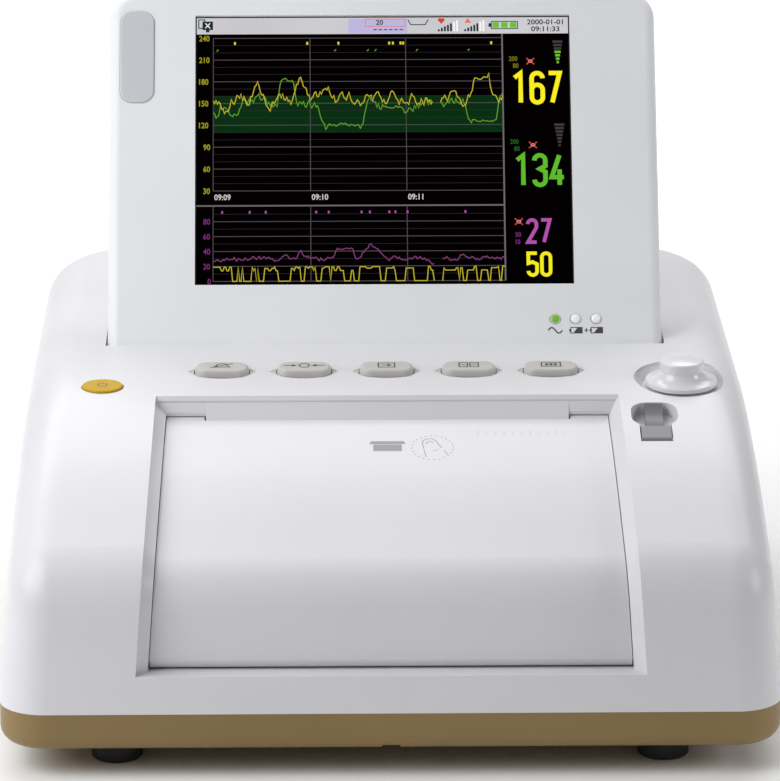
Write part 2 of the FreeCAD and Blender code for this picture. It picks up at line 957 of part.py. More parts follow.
def power_socket():
    hole = oval("power_hole", s.power_width / 2 + s.key_gap, s.power_depth / 2 + s.key_gap,
                -s.wall * 2, s.wall * 2)
    return on_deck(hole, -s.power_offset, s.power_angle)


knob_boss_depth = s.dish_sink + s.wall


def knob_boss():
    boss = turned("knob_boss", rectangle((s.dish_radius + s.wall) / 2, -knob_boss_depth / 2,
                                         (s.dish_radius + s.wall) / 2, knob_boss_depth / 2))
    return on_knob(boss)


def knob_dish():
    """A round dish with sloping sides and the hole for the shaft."""
    dish = turned("knob_dish", polygon(
        (0, -knob_boss_depth * 2),
        (s.shaft_radius + s.shaft_fit, -knob_boss_depth * 2),
        (s.shaft_radius + s.shaft_fit, -s.dish_sink),
        (s.dish_floor, -s.dish_sink),
        (s.dish_radius, 0),
        (s.dish_radius, s.edge_radius / 2),
        (0, s.edge_radius / 2),
    ))
    return on_knob(dish)


latch_start = -s.latch_tab_front
latch_shoulder = latch_start + s.latch_tab_length
latch_end = latch_shoulder + s.latch_reach
latch_pin_y = latch_start + s.latch_barrel
latch_pin_z = -s.latch_barrel
latch_pin_length = s.latch_tab_width + s.wall * 2
scoop_shrink = s.latch_scoop_sink * tan(s.scoop_slope)
scoop_end = s.latch_scoop_length / 2 - scoop_shrink


def latch_boss():
    low = latch_start - s.latch_gap - s.wall
    high = s.latch_scoop_middle + s.latch_scoop_length / 2 + s.wall
    plan_view = rectangle(0, (low + high) / 2, s.latch_scoop_width / 2 + s.wall, (high - low) / 2)
    boss = prism("latch_boss", "XY", plan_view, s.latch_scoop_sink + s.wall * 2,
                 at=-s.latch_scoop_sink - s.wall)
    return on_deck(boss, s.latch_offset, s.latch_angle)


def latch_scoop():
    """A finger scoop behind the slot for the latch tab, with the hole for the latch pin."""
    side = s.latch_scoop_width / 2 - scoop_shrink
    bottom = rounded(0, s.latch_scoop_middle, side, scoop_end, s.scoop_corner)
    scoop = prism("latch_scoop", "XY", bottom, s.latch_scoop_sink * 2, at=-s.latch_scoop_sink,
                  taper=s.scoop_slope)
    low, high = latch_start - s.latch_gap, s.latch_scoop_middle - scoop_end
    depth = (s.latch_barrel + s.latch_gap) * 2
    slot_view = rectangle(0, (low + high) / 2, s.latch_tab_width / 2 + s.latch_gap, (high - low) / 2)
    slot = prism("latch_slot", "XY", slot_view, depth * 2, at=-depth)
    pin = rod("latch_pin_hole", s.latch_pin_radius + s.fit_gap, latch_pin_length,
              (-latch_pin_length / 2, latch_pin_y, latch_pin_z), "X")
    return on_deck(fuse("latch_cut", scoop, slot, pin), s.latch_offset, s.latch_angle)


def key_posts():
    """Posts under the deck that carry the keypad board and the power switch board."""
    posts = []
    reach = s.wall + s.board_drop
    for i, (x, y) in enumerate(corners(key_post_x, key_post_y)):
        post = turned(f"key_post_{i}", rectangle(s.key_post_radius / 2, -reach / 2,
                                                 s.key_post_radius / 2, reach / 2))
        carrier = on_deck(group(f"key_post_seat_{i}", [shifted(post, x, y)]), 0, s.key_angle)
        posts.append(carrier)
    for i, side in enumerate((-1, 1)):
        post = turned(f"power_post_{i}", rectangle(s.key_post_radius / 2, -reach / 2,
                                                   s.key_post_radius / 2, reach / 2))
        posts.append(on_deck(post, -s.power_offset + side * power_post_x, s.power_angle))
    return posts


def shifted(item, x, y):
    move_to(item, (x, y, 0))
    return item


key_post_x = (s.key_count - 1) / 2 * s.key_pitch + s.key_width / 2 + s.key_post_radius * 2
key_post_y = s.key_board_depth / 2 - s.key_post_radius
power_post_x = s.power_width / 2 + s.key_post_radius + s.key_flange


def screw_ribs():
    """Ribs on the side walls that the case screws bite into."""
    ribs = []
    for i, (x, y) in enumerate(screw_spots()):
        side = math.copysign(1, x.value)
        inner_x, outer_x = x - side * s.screw_boss, side * s.case_width / 2
        low_x, high_x = (inner_x, outer_x) if side > 0 else (outer_x, inner_x)
        ribs.append(block(f"screw_rib_{i}", (low_x, y - s.screw_boss, border - s.wall),
                          (high_x, y + s.screw_boss, border + s.screw_depth + s.wall)))
    return ribs


def screw_pilots():
    return [rod(f"screw_pilot_{i}", s.screw_radius + s.fit_gap, s.screw_depth, (x, y, border), "Z")
            for i, (x, y) in enumerate(screw_spots())]


panel_start = front + s.panel_front
panel_middle = (panel_start + s.panel_length / 2, s.panel_bottom + s.panel_height / 2)
panel_face = s.case_width / 2 - s.panel_sink
panel_seat = panel_face - s.panel_thickness


def panel_frame():
    rim = s.panel_lip
    low = (-s.case_width / 2, panel_start - rim, s.panel_bottom - rim)
    high = (-panel_seat, panel_start + s.panel_length + rim, s.panel_bottom + s.panel_height + rim)
    return block("panel_frame", low, high)


def panel_window():
    view = rounded(*panel_middle, s.panel_length / 2, s.panel_height / 2, s.panel_corner)
    return prism("panel_window", "YZ", view, s.case_width / 2 - panel_seat + s.wall * 2,
                 at=-s.case_width / 2 - s.wall)


rear_middle = s.rear_bottom + s.rear_height / 2
rear_seat = back - s.rear_sink


def rear_frame():
    rim = s.panel_lip
    return block("rear_frame", (-s.rear_width / 2 - rim, rear_seat, s.rear_bottom - rim),
                 (s.rear_width / 2 + rim, back, s.rear_bottom + s.rear_height + rim))


def rear_window():
    view = rounded(0, rear_middle, s.rear_width / 2, s.rear_height / 2, s.panel_corner)
    return prism("rear_window", "XZ", view, back - rear_seat + s.wall * 2, at=rear_seat - s.wall)


def hinge_pin_holes():
    radius = s.hinge_pin_radius + s.fit_gap
    reach = s.hinge_seat
    return [rod("hinge_hole_left", radius, reach + s.bay_gap, (-bay_half - reach, hinge_y, hinge_z), "X"),
            rod("hinge_hole_right", radius, reach + s.bay_gap,
                (bay_half - s.bay_gap, hinge_y, hinge_z), "X")]


door_pin_end = door_half - s.door_gap - s.door_pin_length + s.door_pin_seat


def door_pin_holes():
    radius = s.door_pin_radius + s.fit_gap
    length = s.door_pin_length + s.wall
    return [rod("door_hole_left", radius, length, (-door_pin_end - length, *door_axis), "X"),
            rod("door_hole_right", radius, length, (door_pin_end, *door_axis), "X")]


def upper_housing():
    outer = case_form("case_outer", as_dim(0), border)
    inner = case_form("case_inner", s.wall, border - s.wall)
    kept = [bay_tub(), door_frame(), knob_boss(), latch_boss(), panel_frame(), rear_frame()]
    kept += hinge_bosses() + key_posts() + screw_ribs()
    cavity = cut("case_cavity", inner, fuse("case_kept", *kept))
    hollow = cut("case_hollow", outer, cavity)
    wells = fuse("case_wells", screen_bay(), door_recess(), recess_lip(), opening())
    holes = [power_socket(), knob_dish(), latch_scoop(), panel_window(), rear_window()]
    holes += key_sockets() + hinge_pin_holes() + door_pin_holes() + screw_pilots()
    return cut("case_open", cut("case_welled", hollow, wells), group("case_holes", holes))


def above(level):
    """Chooses the edges that lie at or above a level."""
    return lambda shape, edge: low_end(edge) > as_dim(level).value - TOUCH


def in_front_of(level):
    """Chooses the edges that lie at or in front of a level."""
    return lambda shape, edge: edge.BoundBox.YMax < as_dim(level).value + TOUCH


def behind(level):
    """Chooses the edges that lie at or behind a level."""
    return lambda shape, edge: edge.BoundBox.YMin > as_dim(level).value - TOUCH


# Keys: a cap in the deck, a flange that keeps it in, and a stem over a switch
flange_top = -s.wall - s.seat_gap
flange_low = flange_top - s.key_flange_height
board_level = -s.wall - s.board_drop


def key_stem(name):
    return rod(name + "_stem", s.key_stem_radius, s.key_stem, (0, 0, flange_low - s.key_stem))


def function_key(number, x):
    name = f"function_key_{number}"
    half_x, half_y = s.key_width / 2, s.key_depth / 2
    outline = rounded(0, 0, half_x, half_y, s.key_corner)
    raised = prism(name + "_raised", "XY", outline, s.key_rise, taper=-s.key_lean)
    cap = soften(name + "_cap", raised, s.key_round, above(s.key_rise))
    neck = prism(name + "_neck", "XY", outline, -flange_top, at=flange_top)
    wider = rounded(0, 0, half_x + s.key_flange, half_y + s.key_flange, s.key_corner + s.key_flange)
    flange = prism(name + "_flange", "XY", wider, s.key_flange_height, at=flange_low)
    return on_deck(fuse(name, cap, neck, flange, key_stem(name)), x, s.key_angle)


def power_key():
    half_x, half_y = s.power_width / 2, s.power_depth / 2
    plain = oval("power_plain", half_x, half_y, flange_top, s.power_rise)
    cap = soften("power_cap", plain, s.power_round, above(s.power_rise))
    flange = oval("power_flange", half_x + s.key_flange, half_y + s.key_flange, flange_low, flange_top)
    return on_deck(fuse("power_key", cap, flange, key_stem("power")), -s.power_offset, s.power_angle)


def switch(name, x):
    half = s.switch_size / 2
    return prism(name, "XY", rectangle(x, 0, half, half), s.switch_height, at=board_level)


def keypad_board():
    outline = rectangle(0, 0, key_post_x + s.key_post_radius, s.key_board_depth / 2)
    board = prism("keypad_board", "XY", outline, s.board_thickness, at=board_level - s.board_thickness)
    return on_deck(board, 0, s.key_angle)


def key_switches():
    switches = [switch(f"key_switch_{i}", x) for i, x in enumerate(key_spots(), 1)]
    return on_deck(group("key_switches", switches), 0, s.key_angle)


def power_switch_board():
    half_x = power_post_x + s.key_post_radius
    board = prism("power_board", "XY", rectangle(0, 0, half_x, s.power_board_depth / 2),
                  s.board_thickness, at=board_level - s.board_thickness)
    both = fuse("power_switch_board", board, switch("power_switch", 0))
    return on_deck(both, -s.power_offset, s.power_angle)


# Push knob with the encoder under the deck
knob_base = -s.dish_sink + s.knob_travel + s.seat_gap
encoder_top = -knob_boss_depth
encoder_low = encoder_top - s.encoder_height
shaft_low = encoder_low + s.encoder_wall + s.knob_travel + s.seat_gap + s.plunger_height
shaft_bore = s.shaft_radius + s.shaft_fit


def encoder_knob():
    """A round grip that rises from a wide skirt to a slightly domed top."""
    skirt_top = knob_base + s.knob_skirt_height
    flat = s.knob_top - s.knob_rim_round
    dome_radius = (flat * flat + s.knob_dome * s.knob_dome) / (2 * s.knob_dome)
    knob = turned("encoder_knob", polygon(
        (shaft_bore, knob_base),
        (s.knob_skirt, knob_base),
        (s.knob_skirt, skirt_top),
        (s.knob_waist, s.knob_waist_height, -s.knob_cove),
        (s.knob_top, s.knob_rim - s.knob_rim_round),
        (flat, s.knob_rim, s.knob_rim_round),
        (0, s.knob_rim + s.knob_dome, dome_radius),
        (0, s.knob_bore),
        (shaft_bore, s.knob_bore),
    ))
    return on_knob(knob)


def encoder_shaft():
    shaft = turned("encoder_shaft", rectangle(s.shaft_radius / 2, (s.knob_bore + shaft_low) / 2,
                                              s.shaft_radius / 2, (s.knob_bore - shaft_low) / 2))
    return on_knob(shaft)


def encoder_plunger():
    middle = shaft_low - s.plunger_height / 2
    plunger = turned("encoder_plunger", rectangle(s.plunger_radius / 2, middle,
                                                  s.plunger_radius / 2, s.plunger_height / 2))
    return on_knob(plunger)


def encoder_body():
    half = s.encoder_size / 2
    shell = prism("encoder_shell", "XY", rectangle(0, 0, half, half), s.encoder_height, at=encoder_low)
    room = s.plunger_radius + s.seat_gap
    hollow = turned("encoder_room", polygon(
        (0, encoder_low + s.encoder_wall),
        (room, encoder_low + s.encoder_wall),
        (room, encoder_top - s.encoder_wall),
        (shaft_bore, encoder_top - s.encoder_wall),
        (shaft_bore, encoder_top + s.encoder_wall),
        (0, encoder_top + s.encoder_wall),
    ))
    return on_knob(cut("encoder_body", shell, hollow))


# Door latch: a tab in the deck whose hollow leg lies along the scoop, where a finger lifts it
def door_latch():
    half = s.latch_tab_width / 2
    tab = block("latch_tab", (-half, latch_pin_y, -s.latch_thickness), (half, latch_shoulder, 0))
    leg = prism("latch_leg", "YZ", polygon(
        (latch_pin_y, -s.latch_thickness),
        (latch_shoulder, -s.latch_thickness),
        (latch_end, -s.latch_end_drop - s.latch_thickness, s.latch_leg_radius),
        (latch_end, -s.latch_end_drop),
        (latch_shoulder, 0, -s.latch_leg_radius),
        (latch_pin_y, 0),
    ), s.latch_neck, both=True)
    barrel = rod("latch_barrel", s.latch_barrel, s.latch_tab_width, (-half, latch_pin_y, latch_pin_z),
                 "X")
    bore = rod("latch_bore", s.latch_pin_radius + s.fit_gap, s.latch_tab_width,
               (-half, latch_pin_y, latch_pin_z), "X")
    lever = cut("door_latch", fuse("latch_solid", tab, leg, barrel), bore)
    return on_deck(lever, s.latch_offset, s.latch_angle)


def latch_pin():
    pin = rod("latch_pin_rod", s.latch_pin_radius, latch_pin_length,
              (-latch_pin_length / 2, latch_pin_y, latch_pin_z), "X")
    return on_deck(group("latch_pin", [pin]), s.latch_offset, s.latch_angle)


# Recorder door on its two pins
barrel_half = door_half - s.door_gap


def recorder_door():
    """A curved panel that follows the case, with a hinge barrel along its foot."""
    outer, inner = s.recess_depth, door_inner
    side = prism("door_side", "YZ", polygon(
        deck_point(door_angle, outer),
        (*deck_point(s.slope_angle, outer), s.crown_radius - outer),
        bend_point(s.slope_angle, outer),
        (*bend_point(lean, outer), s.bend_radius - outer),
        wall_point(door_axis[1], outer),
        wall_point(door_axis[1], inner),
        bend_point(lean, inner),
        (*bend_point(s.slope_angle, inner), -(s.bend_radius - inner)),
        deck_point(s.slope_angle, inner),
        (*deck_point(door_angle, inner), -(s.crown_radius - inner)),
    ), far_out, both=True)
    face = prism("door_face", "XZ", front_outline(door_half, ledge, top_height(back)), far_out, both=True)
    panel = common("door_panel", side, face)
    barrel = rod("door_barrel", s.door_barrel, barrel_half * 2, (-barrel_half, *door_axis), "X")
    notch_low = deck_point(notch_angle, outer)[1]
    notch = block("door_notch", (-s.notch_width / 2, deck_point(notch_angle, outer)[0],
                                 notch_low - s.wall * 2),
                  (s.notch_width / 2, recess_top[0] + s.wall, top_height(back)))
    holes = []
    bore = s.door_pin_length
    for side_name, x in (("left", -door_pin_end - bore), ("right", door_pin_end)):
        holes.append(rod("door_bore_" + side_name, s.door_pin_radius + s.fit_gap, bore,
                         (x, *door_axis), "X"))
    return cut("recorder_door", fuse("door_solid", panel, barrel), group("door_cuts", [notch] + holes))


def door_hinge_pins():
    length = s.door_pin_length
    pins = [rod("door_pin_left", s.door_pin_radius, length, (-door_pin_end - length, *door_axis), "X"),
            rod("door_pin_right", s.door_pin_radius, length, (door_pin_end, *door_axis), "X")]
    return group("door_hinge_pins", pins)


# Chart recorder
platen_at = (recess_top[0] - s.platen_setback, recess_top[1] - s.platen_drop)
plate_low = platen_at[1] - s.plate_fall
plate_high = platen_at[1] + s.plate_rise
head_low = platen_at[1] - s.head_drop
tray_start = front + s.tray_front
tray_end = platen_at[0] - s.tray_gap
tray_low = s.tray_floor + s.tray_wall


def paper_tray():
    """An open tray under the door, with a guide on either side of the paper."""
    half = s.tray_half_width
    wall = s.tray_wall
    form = prism("tray_form", "YZ", side_outline(s.tray_inset, s.tray_floor), half * 2, both=True)
    length = block("tray_length", (-half, tray_start, s.tray_floor), (half, tray_end, top_height(back)))
    room = block("tray_room", (-half + wall, tray_start + wall, tray_low),
                 (half - wall, tray_end - wall, top_height(back)))
    tray = cut("tray_shell", common("tray_solid", form, length), room)
    inner = s.paper_width / 2 + s.guide_gap
    outer = inner + s.guide_thickness
    guide_top = tray_low + s.guide_height
    guides = [block("tray_guide_left", (-outer, tray_start + wall, tray_low),
                    (-inner, tray_end - wall, guide_top)),
              block("tray_guide_right", (inner, tray_start + wall, tray_low),
                    (outer, tray_end - wall, guide_top))]
    return fuse("paper_tray", tray, *guides)


def gear_radius(teeth):
    return s.gear_module * teeth / 2


def along_train(distance):
    """A point on the line of gear centres, that far from the platen axis."""
    return (platen_at[0] + distance * cos(s.train_fall), platen_at[1] - distance * sin(s.train_fall))


idler_at = along_train(gear_radius(s.platen_teeth) + gear_radius(s.idler_teeth))
motor_at = along_train(gear_radius(s.platen_teeth) + gear_radius(s.idler_teeth) * 2
                       + gear_radius(s.pinion_teeth))
plate_end = tray_end + s.plate_length
plate_outer = s.plate_offset + s.plate_thickness


def gear(name, teeth, bore, place, phase):
    """A spur gear whose first tooth points at the angle phase from the Y axis."""
    body = doc.addObject("PartDesign::Body", name)
    pitch = gear_radius(teeth)
    root = pitch - s.gear_module * s.tooth_root
    tip = pitch + s.gear_module * s.tooth_tip
    half_pitch = s.gear_module * (math.pi / 4) - s.tooth_play

    def half_at(radius):
        return half_pitch + (pitch - radius) * tan(s.pressure_angle)

    def disc(sketch):
        circle(0, 0, root)(sketch)
        circle(0, 0, bore + s.fit_gap)(sketch)

    inside = root - s.gear_module
    tooth = polygon((inside, -half_at(root)), (root, -half_at(root)), (tip, -half_at(tip)),
                    (tip, half_at(tip)), (root, half_at(root)), (inside, half_at(root)))
    pads = []
    for part, paint in (("disc", disc), ("tooth", tooth)):
        pad = body.newObject("PartDesign::Pad", f"{name}_{part}")
        pad.Profile = sketch_on(body, "YZ", 0, paint)
        bind(pad, "Length", s.gear_width)
        pads.append(pad)
    doc.recompute()
    ring = body.newObject("PartDesign::PolarPattern", name + "_teeth")
    ring.Originals = [pads[1]]
    axis = next(item for item in body.Origin.OriginFeatures if item.Role == "X_Axis")
    ring.Axis = (axis, [""])
    ring.Angle = 360
    bind(ring, "Occurrences", teeth)
    body.Tip = ring
    return tilt(body, (s.gear_plane, *place), phase)


def platen_gear():
    return gear("platen_gear", s.platen_teeth, s.platen_shaft_radius, platen_at, -s.train_fall)


def idler_gear():
    half_step = as_dim(180) / s.idler_teeth
    return gear("idler_gear", s.idler_teeth, s.stud_radius, idler_at, 180 - s.train_fall + half_step)


def motor_pinion():
    return gear("motor_pinion", s.pinion_teeth, s.motor_shaft_radius, motor_at, 180 - s.train_fall)


def idler_stud():
    pin = rod("stud_pin", s.stud_radius, s.gear_plane + s.gear_width + s.shaft_end - s.plate_offset,
              (s.plate_offset, *idler_at), "X")
    collar = rod("stud_collar", s.stud_collar, s.gear_plane - plate_outer - s.head_gap,
                 (plate_outer, *idler_at), "X")
    return fuse("idler_stud", pin, collar)


def recorder_chassis():
    """A bent frame with two upright side plates that carries the paper drive."""
    side = prism("chassis_side", "YZ", polygon(
        (tray_end, plate_low),
        (plate_end, plate_low),
        (plate_end, head_low),
        (platen_at[0] + s.head_height + s.sink_depth, plate_high),
        (tray_end, plate_high),
    ), plate_outer * 2, both=True)
    room = block("chassis_room", (-s.plate_offset, tray_end - s.wall, plate_low + s.plate_thickness),
                 (s.plate_offset, plate_end + s.wall, plate_high + s.wall))
    holes = []
    for side_name, x in (("left", -plate_outer), ("right", s.plate_offset)):
        holes.append(rod("bush_hole_" + side_name, s.bush_radius + s.fit_gap, s.plate_thickness,
                         (x, *platen_at), "X"))
    holes.append(rod("stud_hole", s.stud_radius + s.fit_gap, s.plate_thickness,
                     (s.plate_offset, *idler_at), "X"))
    holes.append(rod("motor_hole", s.motor_boss, s.plate_thickness, (s.plate_offset, *motor_at), "X"))
    return cut("recorder_chassis", side, room, group("chassis_holes", holes))


def platen_roller():
    half = s.platen_length / 2
    body = rod("roller_body", s.platen_radius, s.platen_length, (-half, *platen_at), "X")
    bore = rod("roller_bore", s.platen_shaft_radius + s.fit_gap, s.platen_length, (-half, *platen_at),
               "X")
    return cut("platen_roller", body, bore)


def platen_shaft():
    left = plate_outer + s.shaft_end
    right = s.gear_plane + s.gear_width + s.shaft_end
    return rod("platen_shaft", s.platen_shaft_radius, left + right, (-left, *platen_at), "X")


def platen_bushes():
    bushes = []
    start = plate_outer + s.shaft_end - s.bush_length
    for side_name, x in (("left", -start - s.bush_length), ("right", start)):
        ring = rod("bush_ring_" + side_name, s.bush_radius, s.bush_length, (x, *platen_at), "X")
        bore = rod("bush_bore_" + side_name, s.platen_shaft_radius + s.fit_gap, s.bush_length,
                   (x, *platen_at), "X")
        bushes.append(cut("bush_" + side_name, ring, bore))
    return group("platen_bushes", bushes)


def recorder_motor():
    can = rod("motor_can", s.motor_radius, s.motor_length,
              (s.plate_offset - s.motor_length, *motor_at), "X")
    bore = rod("motor_bore", s.motor_shaft_radius + s.fit_gap, s.motor_length - s.plate_thickness,
               (s.plate_offset - s.motor_length + s.plate_thickness, *motor_at), "X")
    return cut("recorder_motor", can, bore)


def motor_shaft():
    start = s.plate_offset - s.motor_length + s.plate_thickness + s.head_gap
    return rod("motor_shaft", s.motor_shaft_radius, s.gear_plane + s.gear_width + s.shaft_end - start,
               (start, *motor_at), "X")


head_front = platen_at[0] + s.platen_radius + s.head_gap
head_top = head_low + s.head_height


def print_head():
    """A thermal head bar behind the platen with a finned heat sink on its back."""
    half = s.plate_offset
    bar = block("head_bar", (-half, head_front, head_low),
                (half, head_front + s.head_thickness, head_top))
    fins = []
    step = (half * 2 - s.sink_fin) / (s.sink_fins - 1)
    for i in range(int(s.sink_fins.value)):
        x = -half + step * i
        fins.append(block(f"sink_fin_{i}", (x, head_front + s.head_thickness, head_low),
                          (x + s.sink_fin, head_front + s.head_thickness + s.sink_depth,
                           head_top - s.wall)))
    return fuse("print_head", bar, *fins)


def tear_bar():
    half = s.plate_offset - s.plate_thickness
    return block("tear_bar", (-half, head_front, head_top),
                 (half, head_front + s.tear_thickness, head_top + s.tear_height))


# Folding screen, drawn from the hinge axis with Y through its thickness and Z up its face
screen_front = -s.hinge_drop
screen_split = screen_front + s.bezel_depth
screen_back = screen_front + s.screen_thickness
bezel_inside = screen_front + s.screen_wall
cover_inside = screen_back - s.screen_wall
lcd_middle = s.lcd_bottom + s.lcd_height / 2
glass_back = bezel_inside + s.glass_thickness
lcd_back = glass_back + s.lcd_thickness
lamp_middle = (-s.lamp_left + s.lamp_width / 2, s.lamp_bottom + s.lamp_length / 2)
screen_bore = s.hinge_pin_radius + s.fit_gap
screen_screws_at = [(side * s.screen_screw_x, height) for side in (-1, 1)
                    for height in (s.screen_screw_low, s.screen_screw_high)]


def screen_outline(inset, low):
    half = s.screen_width / 2 - inset
    high = s.screen_length - inset
    corner = s.screen_corner - inset
    return polygon(
        (-half, low),
        (half, low),
        (half, high - corner),
        (half - corner, high, corner),
        (-half + corner, high),
        (-half, high - corner, corner),
    )


def lamp_outline(grow):
    return rounded(*lamp_middle, s.lamp_width / 2 + grow, s.lamp_length / 2 + grow, s.lamp_corner + grow)


def indicator_spots():
    return [s.indicator_first + s.indicator_pitch * i for i in range(int(s.indicator_count.value))]


def screen_bezel():
    """The front frame of the screen, whose foot turns about the hinge pins."""
    raw = prism("bezel_raw", "XZ", screen_outline(as_dim(0), -s.hinge_drop), s.bezel_depth,
                at=screen_front)
    shell = soften("bezel_shell", raw, s.screen_edge, in_front_of(screen_front))
    room = prism("bezel_room", "XZ", screen_outline(s.screen_wall, s.hinge_bar), s.bezel_depth,
                 at=bezel_inside)
    posts = [rod(f"bezel_post_{i}", s.screen_post, s.bezel_depth - s.screen_wall,
                 (x, bezel_inside, z), "Y")
             for i, (x, z) in enumerate(screen_screws_at)]
    solid = fuse("bezel_solid", cut("bezel_hollow", shell, room), *posts)
    through = s.screen_wall * 3
    start = screen_front - s.screen_wall
    half_x, half_z = s.lcd_width / 2 + s.window_gap, s.lcd_height / 2 + s.window_gap
    holes = [prism("bezel_window", "XZ", rectangle(0, lcd_middle, half_x, half_z), through, at=start),
             prism("lamp_slot", "XZ", lamp_outline(s.lamp_gap), through, at=start)]
    for i, x in enumerate(indicator_spots()):
        holes.append(rod(f"indicator_hole_{i}", s.indicator_radius + s.lamp_gap, through,
                         (x, start, s.indicator_height), "Y"))
    for i, (x, z) in enumerate(screen_screws_at):
        holes.append(rod(f"bezel_pilot_{i}", s.screw_radius + s.fit_gap, s.screen_screw_bite,
                         (x, screen_split - s.screen_screw_bite, z), "Y"))
    half = s.screen_width / 2
    for side_name, x in (("left", -half), ("right", half - s.hinge_pin_reach)):
        holes.append(rod("bezel_bore_" + side_name, screen_bore, s.hinge_pin_reach, (x, 0, 0), "X"))
    return in_screen(cut("screen_bezel", solid, group("bezel_holes", holes)))


def screen_rear_cover():
    """The hollow back of the screen, with posts that hold the display against the bezel."""
    depth = s.screen_thickness - s.bezel_depth
    raw = prism("cover_raw", "XZ", screen_outline(as_dim(0), -s.hinge_drop), depth, at=screen_split)
    shell = soften("cover_shell", raw, s.screen_back_edge, behind(screen_back))
    low = -s.hinge_drop + s.screen_wall
    void = prism("cover_void", "XZ", screen_outline(s.screen_wall, low), depth,
                 at=screen_split - s.screen_wall)
    room = soften("cover_room", void, s.screen_back_edge - s.screen_wall, behind(cover_inside))
    posts = []
    for i, (x, z) in enumerate(screen_screws_at):
        posts.append(rod(f"cover_post_{i}", s.screen_post, depth - s.screen_wall / 2,
                         (x, screen_split, z), "Y"))
    for i, (x, z) in enumerate(corners(s.lcd_post_x, s.lcd_post_y)):
        posts.append(rod(f"lcd_post_{i}", s.screen_post, cover_inside - lcd_back + s.screen_wall / 2,
                         (x, lcd_back, lcd_middle + z), "Y"))
    solid = fuse("cover_solid", cut("cover_hollow", shell, room), *posts)
    holes = []
    for i, (x, z) in enumerate(screen_screws_at):
        seat = screen_split + s.screen_screw_seat
        shank = rod(f"cover_hole_{i}", s.screw_radius + s.seat_gap / 2, depth, (x, screen_split, z), "Y")
        sink = rod(f"cover_sink_{i}", s.screw_head + s.seat_gap, depth, (x, seat, z), "Y")
        holes.append(fuse(f"cover_step_{i}", shank, sink))
    return in_screen(cut("screen_rear_cover", solid, group("cover_holes", holes)))


def screen_screws():
    screws = []
    seat = screen_split + s.screen_screw_seat
    start = screen_split - s.screen_screw_bite + s.seat_gap
    for i, (x, z) in enumerate(screen_screws_at):
        shank = rod(f"screen_shank_{i}", s.screw_radius, seat - start, (x, start, z), "Y")
        head = rod(f"screen_head_{i}", s.screw_head, s.screw_head_height, (x, seat, z), "Y")
        screws.append(fuse(f"screen_screw_{i}", shank, head))
    return in_screen(group("screen_screws", screws))


def display_layer(name, margin, start, thickness):
    outline = rectangle(0, lcd_middle, s.lcd_width / 2 + margin, s.lcd_height / 2 + margin)
    return in_screen(prism(name, "XZ", outline, thickness, at=start))


def display_board():
    outline = rectangle(0, lcd_middle, s.display_board_width / 2, s.display_board_height / 2)
    return in_screen(prism("display_board", "XZ", outline, s.board_thickness, at=lcd_back))


def alarm_lamp_lens():
    proud = screen_front - s.lamp_proud
    plain = prism("lamp_plain", "XZ", lamp_outline(as_dim(0)), bezel_inside - proud, at=proud)
    lens = soften("lamp_lens", plain, s.lamp_round, in_front_of(proud))
    flange = prism("lamp_flange", "XZ", lamp_outline(s.lamp_flange), s.lamp_flange, at=bezel_inside)
    return in_screen(fuse("alarm_lamp_lens", lens, flange))


def alarm_lamp_board():
    outline = rectangle(*lamp_middle, s.lamp_width / 2, s.lamp_length / 2)
    return in_screen(prism("alarm_lamp_board", "XZ", outline, s.board_thickness,
                           at=bezel_inside + s.lamp_flange))


def status_indicators():
    lights = []
    proud = screen_front - s.indicator_proud
    for i, x in enumerate(indicator_spots()):
        pipe = rod(f"indicator_pipe_{i}", s.indicator_radius, bezel_inside - proud,
                   (x, proud, s.indicator_height), "Y")
        flange = rod(f"indicator_flange_{i}", s.indicator_radius + s.indicator_flange, s.indicator_flange,
                     (x, bezel_inside, s.indicator_height), "Y")
        lights.append(fuse(f"indicator_{i}", pipe, flange))
    return in_screen(group("status_indicators", lights))


def indicator_board():
    half = s.indicator_pitch * s.indicator_count / 2
    middle = s.indicator_first + s.indicator_pitch * (s.indicator_count - 1) / 2
    outline = rectangle(middle, s.indicator_height, half,
                        s.indicator_radius + s.indicator_flange)
    return in_screen(prism("indicator_board", "XZ", outline, s.board_thickness,
                           at=bezel_inside + s.indicator_flange))


def screen_hinge_pins():
    inner = s.screen_width / 2 - s.hinge_pin_reach + s.seat_gap
    length = bay_half + s.hinge_seat - inner
    pins = [rod("hinge_pin_left", s.hinge_pin_radius, length, (-inner - length, hinge_y, hinge_z), "X"),
            rod("hinge_pin_right", s.hinge_pin_radius, length, (inner, hinge_y, hinge_z), "X")]
    return group("screen_hinge_pins", pins)


# Lower housing and what stands on it
foot_rows = (front + s.foot_setback, back - s.foot_back)
foot_spots = [(side * s.foot_spread, y) for side in (-1, 1) for y in foot_rows]
head_seat = floor_top + s.wall
foot_top = s.foot_height - s.foot_boss
supply_inner = s.case_width / 2 - s.supply_inset - s.supply_width
supply_end = back - s.supply_back
board_front = back - s.main_board_back - s.main_board_length
board_middle = board_front + s.main_board_length / 2
board_x = s.board_gap - supply_inner + s.main_board_width / 2
battery_middle = s.battery_front + s.battery_length / 2
battery_low = s.foot_height + s.battery_cover
pad_top = s.foot_height + s.battery_pad
battery_top = battery_low + s.battery_height
battery_screw_x = s.battery_width / 2 + s.battery_lip / 2
speaker_at = (s.case_width / 2 - s.speaker_inset, back - s.speaker_back)


def base_outline(inset):
    half_x, half_y = s.case_width / 2 - inset, s.case_depth / 2 - inset
    near, far = s.edge_radius - inset, s.rear_corner - inset
    return polygon(
        (-half_x + near, -half_y),
        (half_x - near, -half_y),
        (half_x, -half_y + near, near),
        (half_x, half_y - far),
        (half_x - far, half_y, far),
        (-half_x + far, half_y),
        (-half_x, half_y - far, far),
        (-half_x, -half_y + near),
        (-half_x + near, -half_y, near),
    )


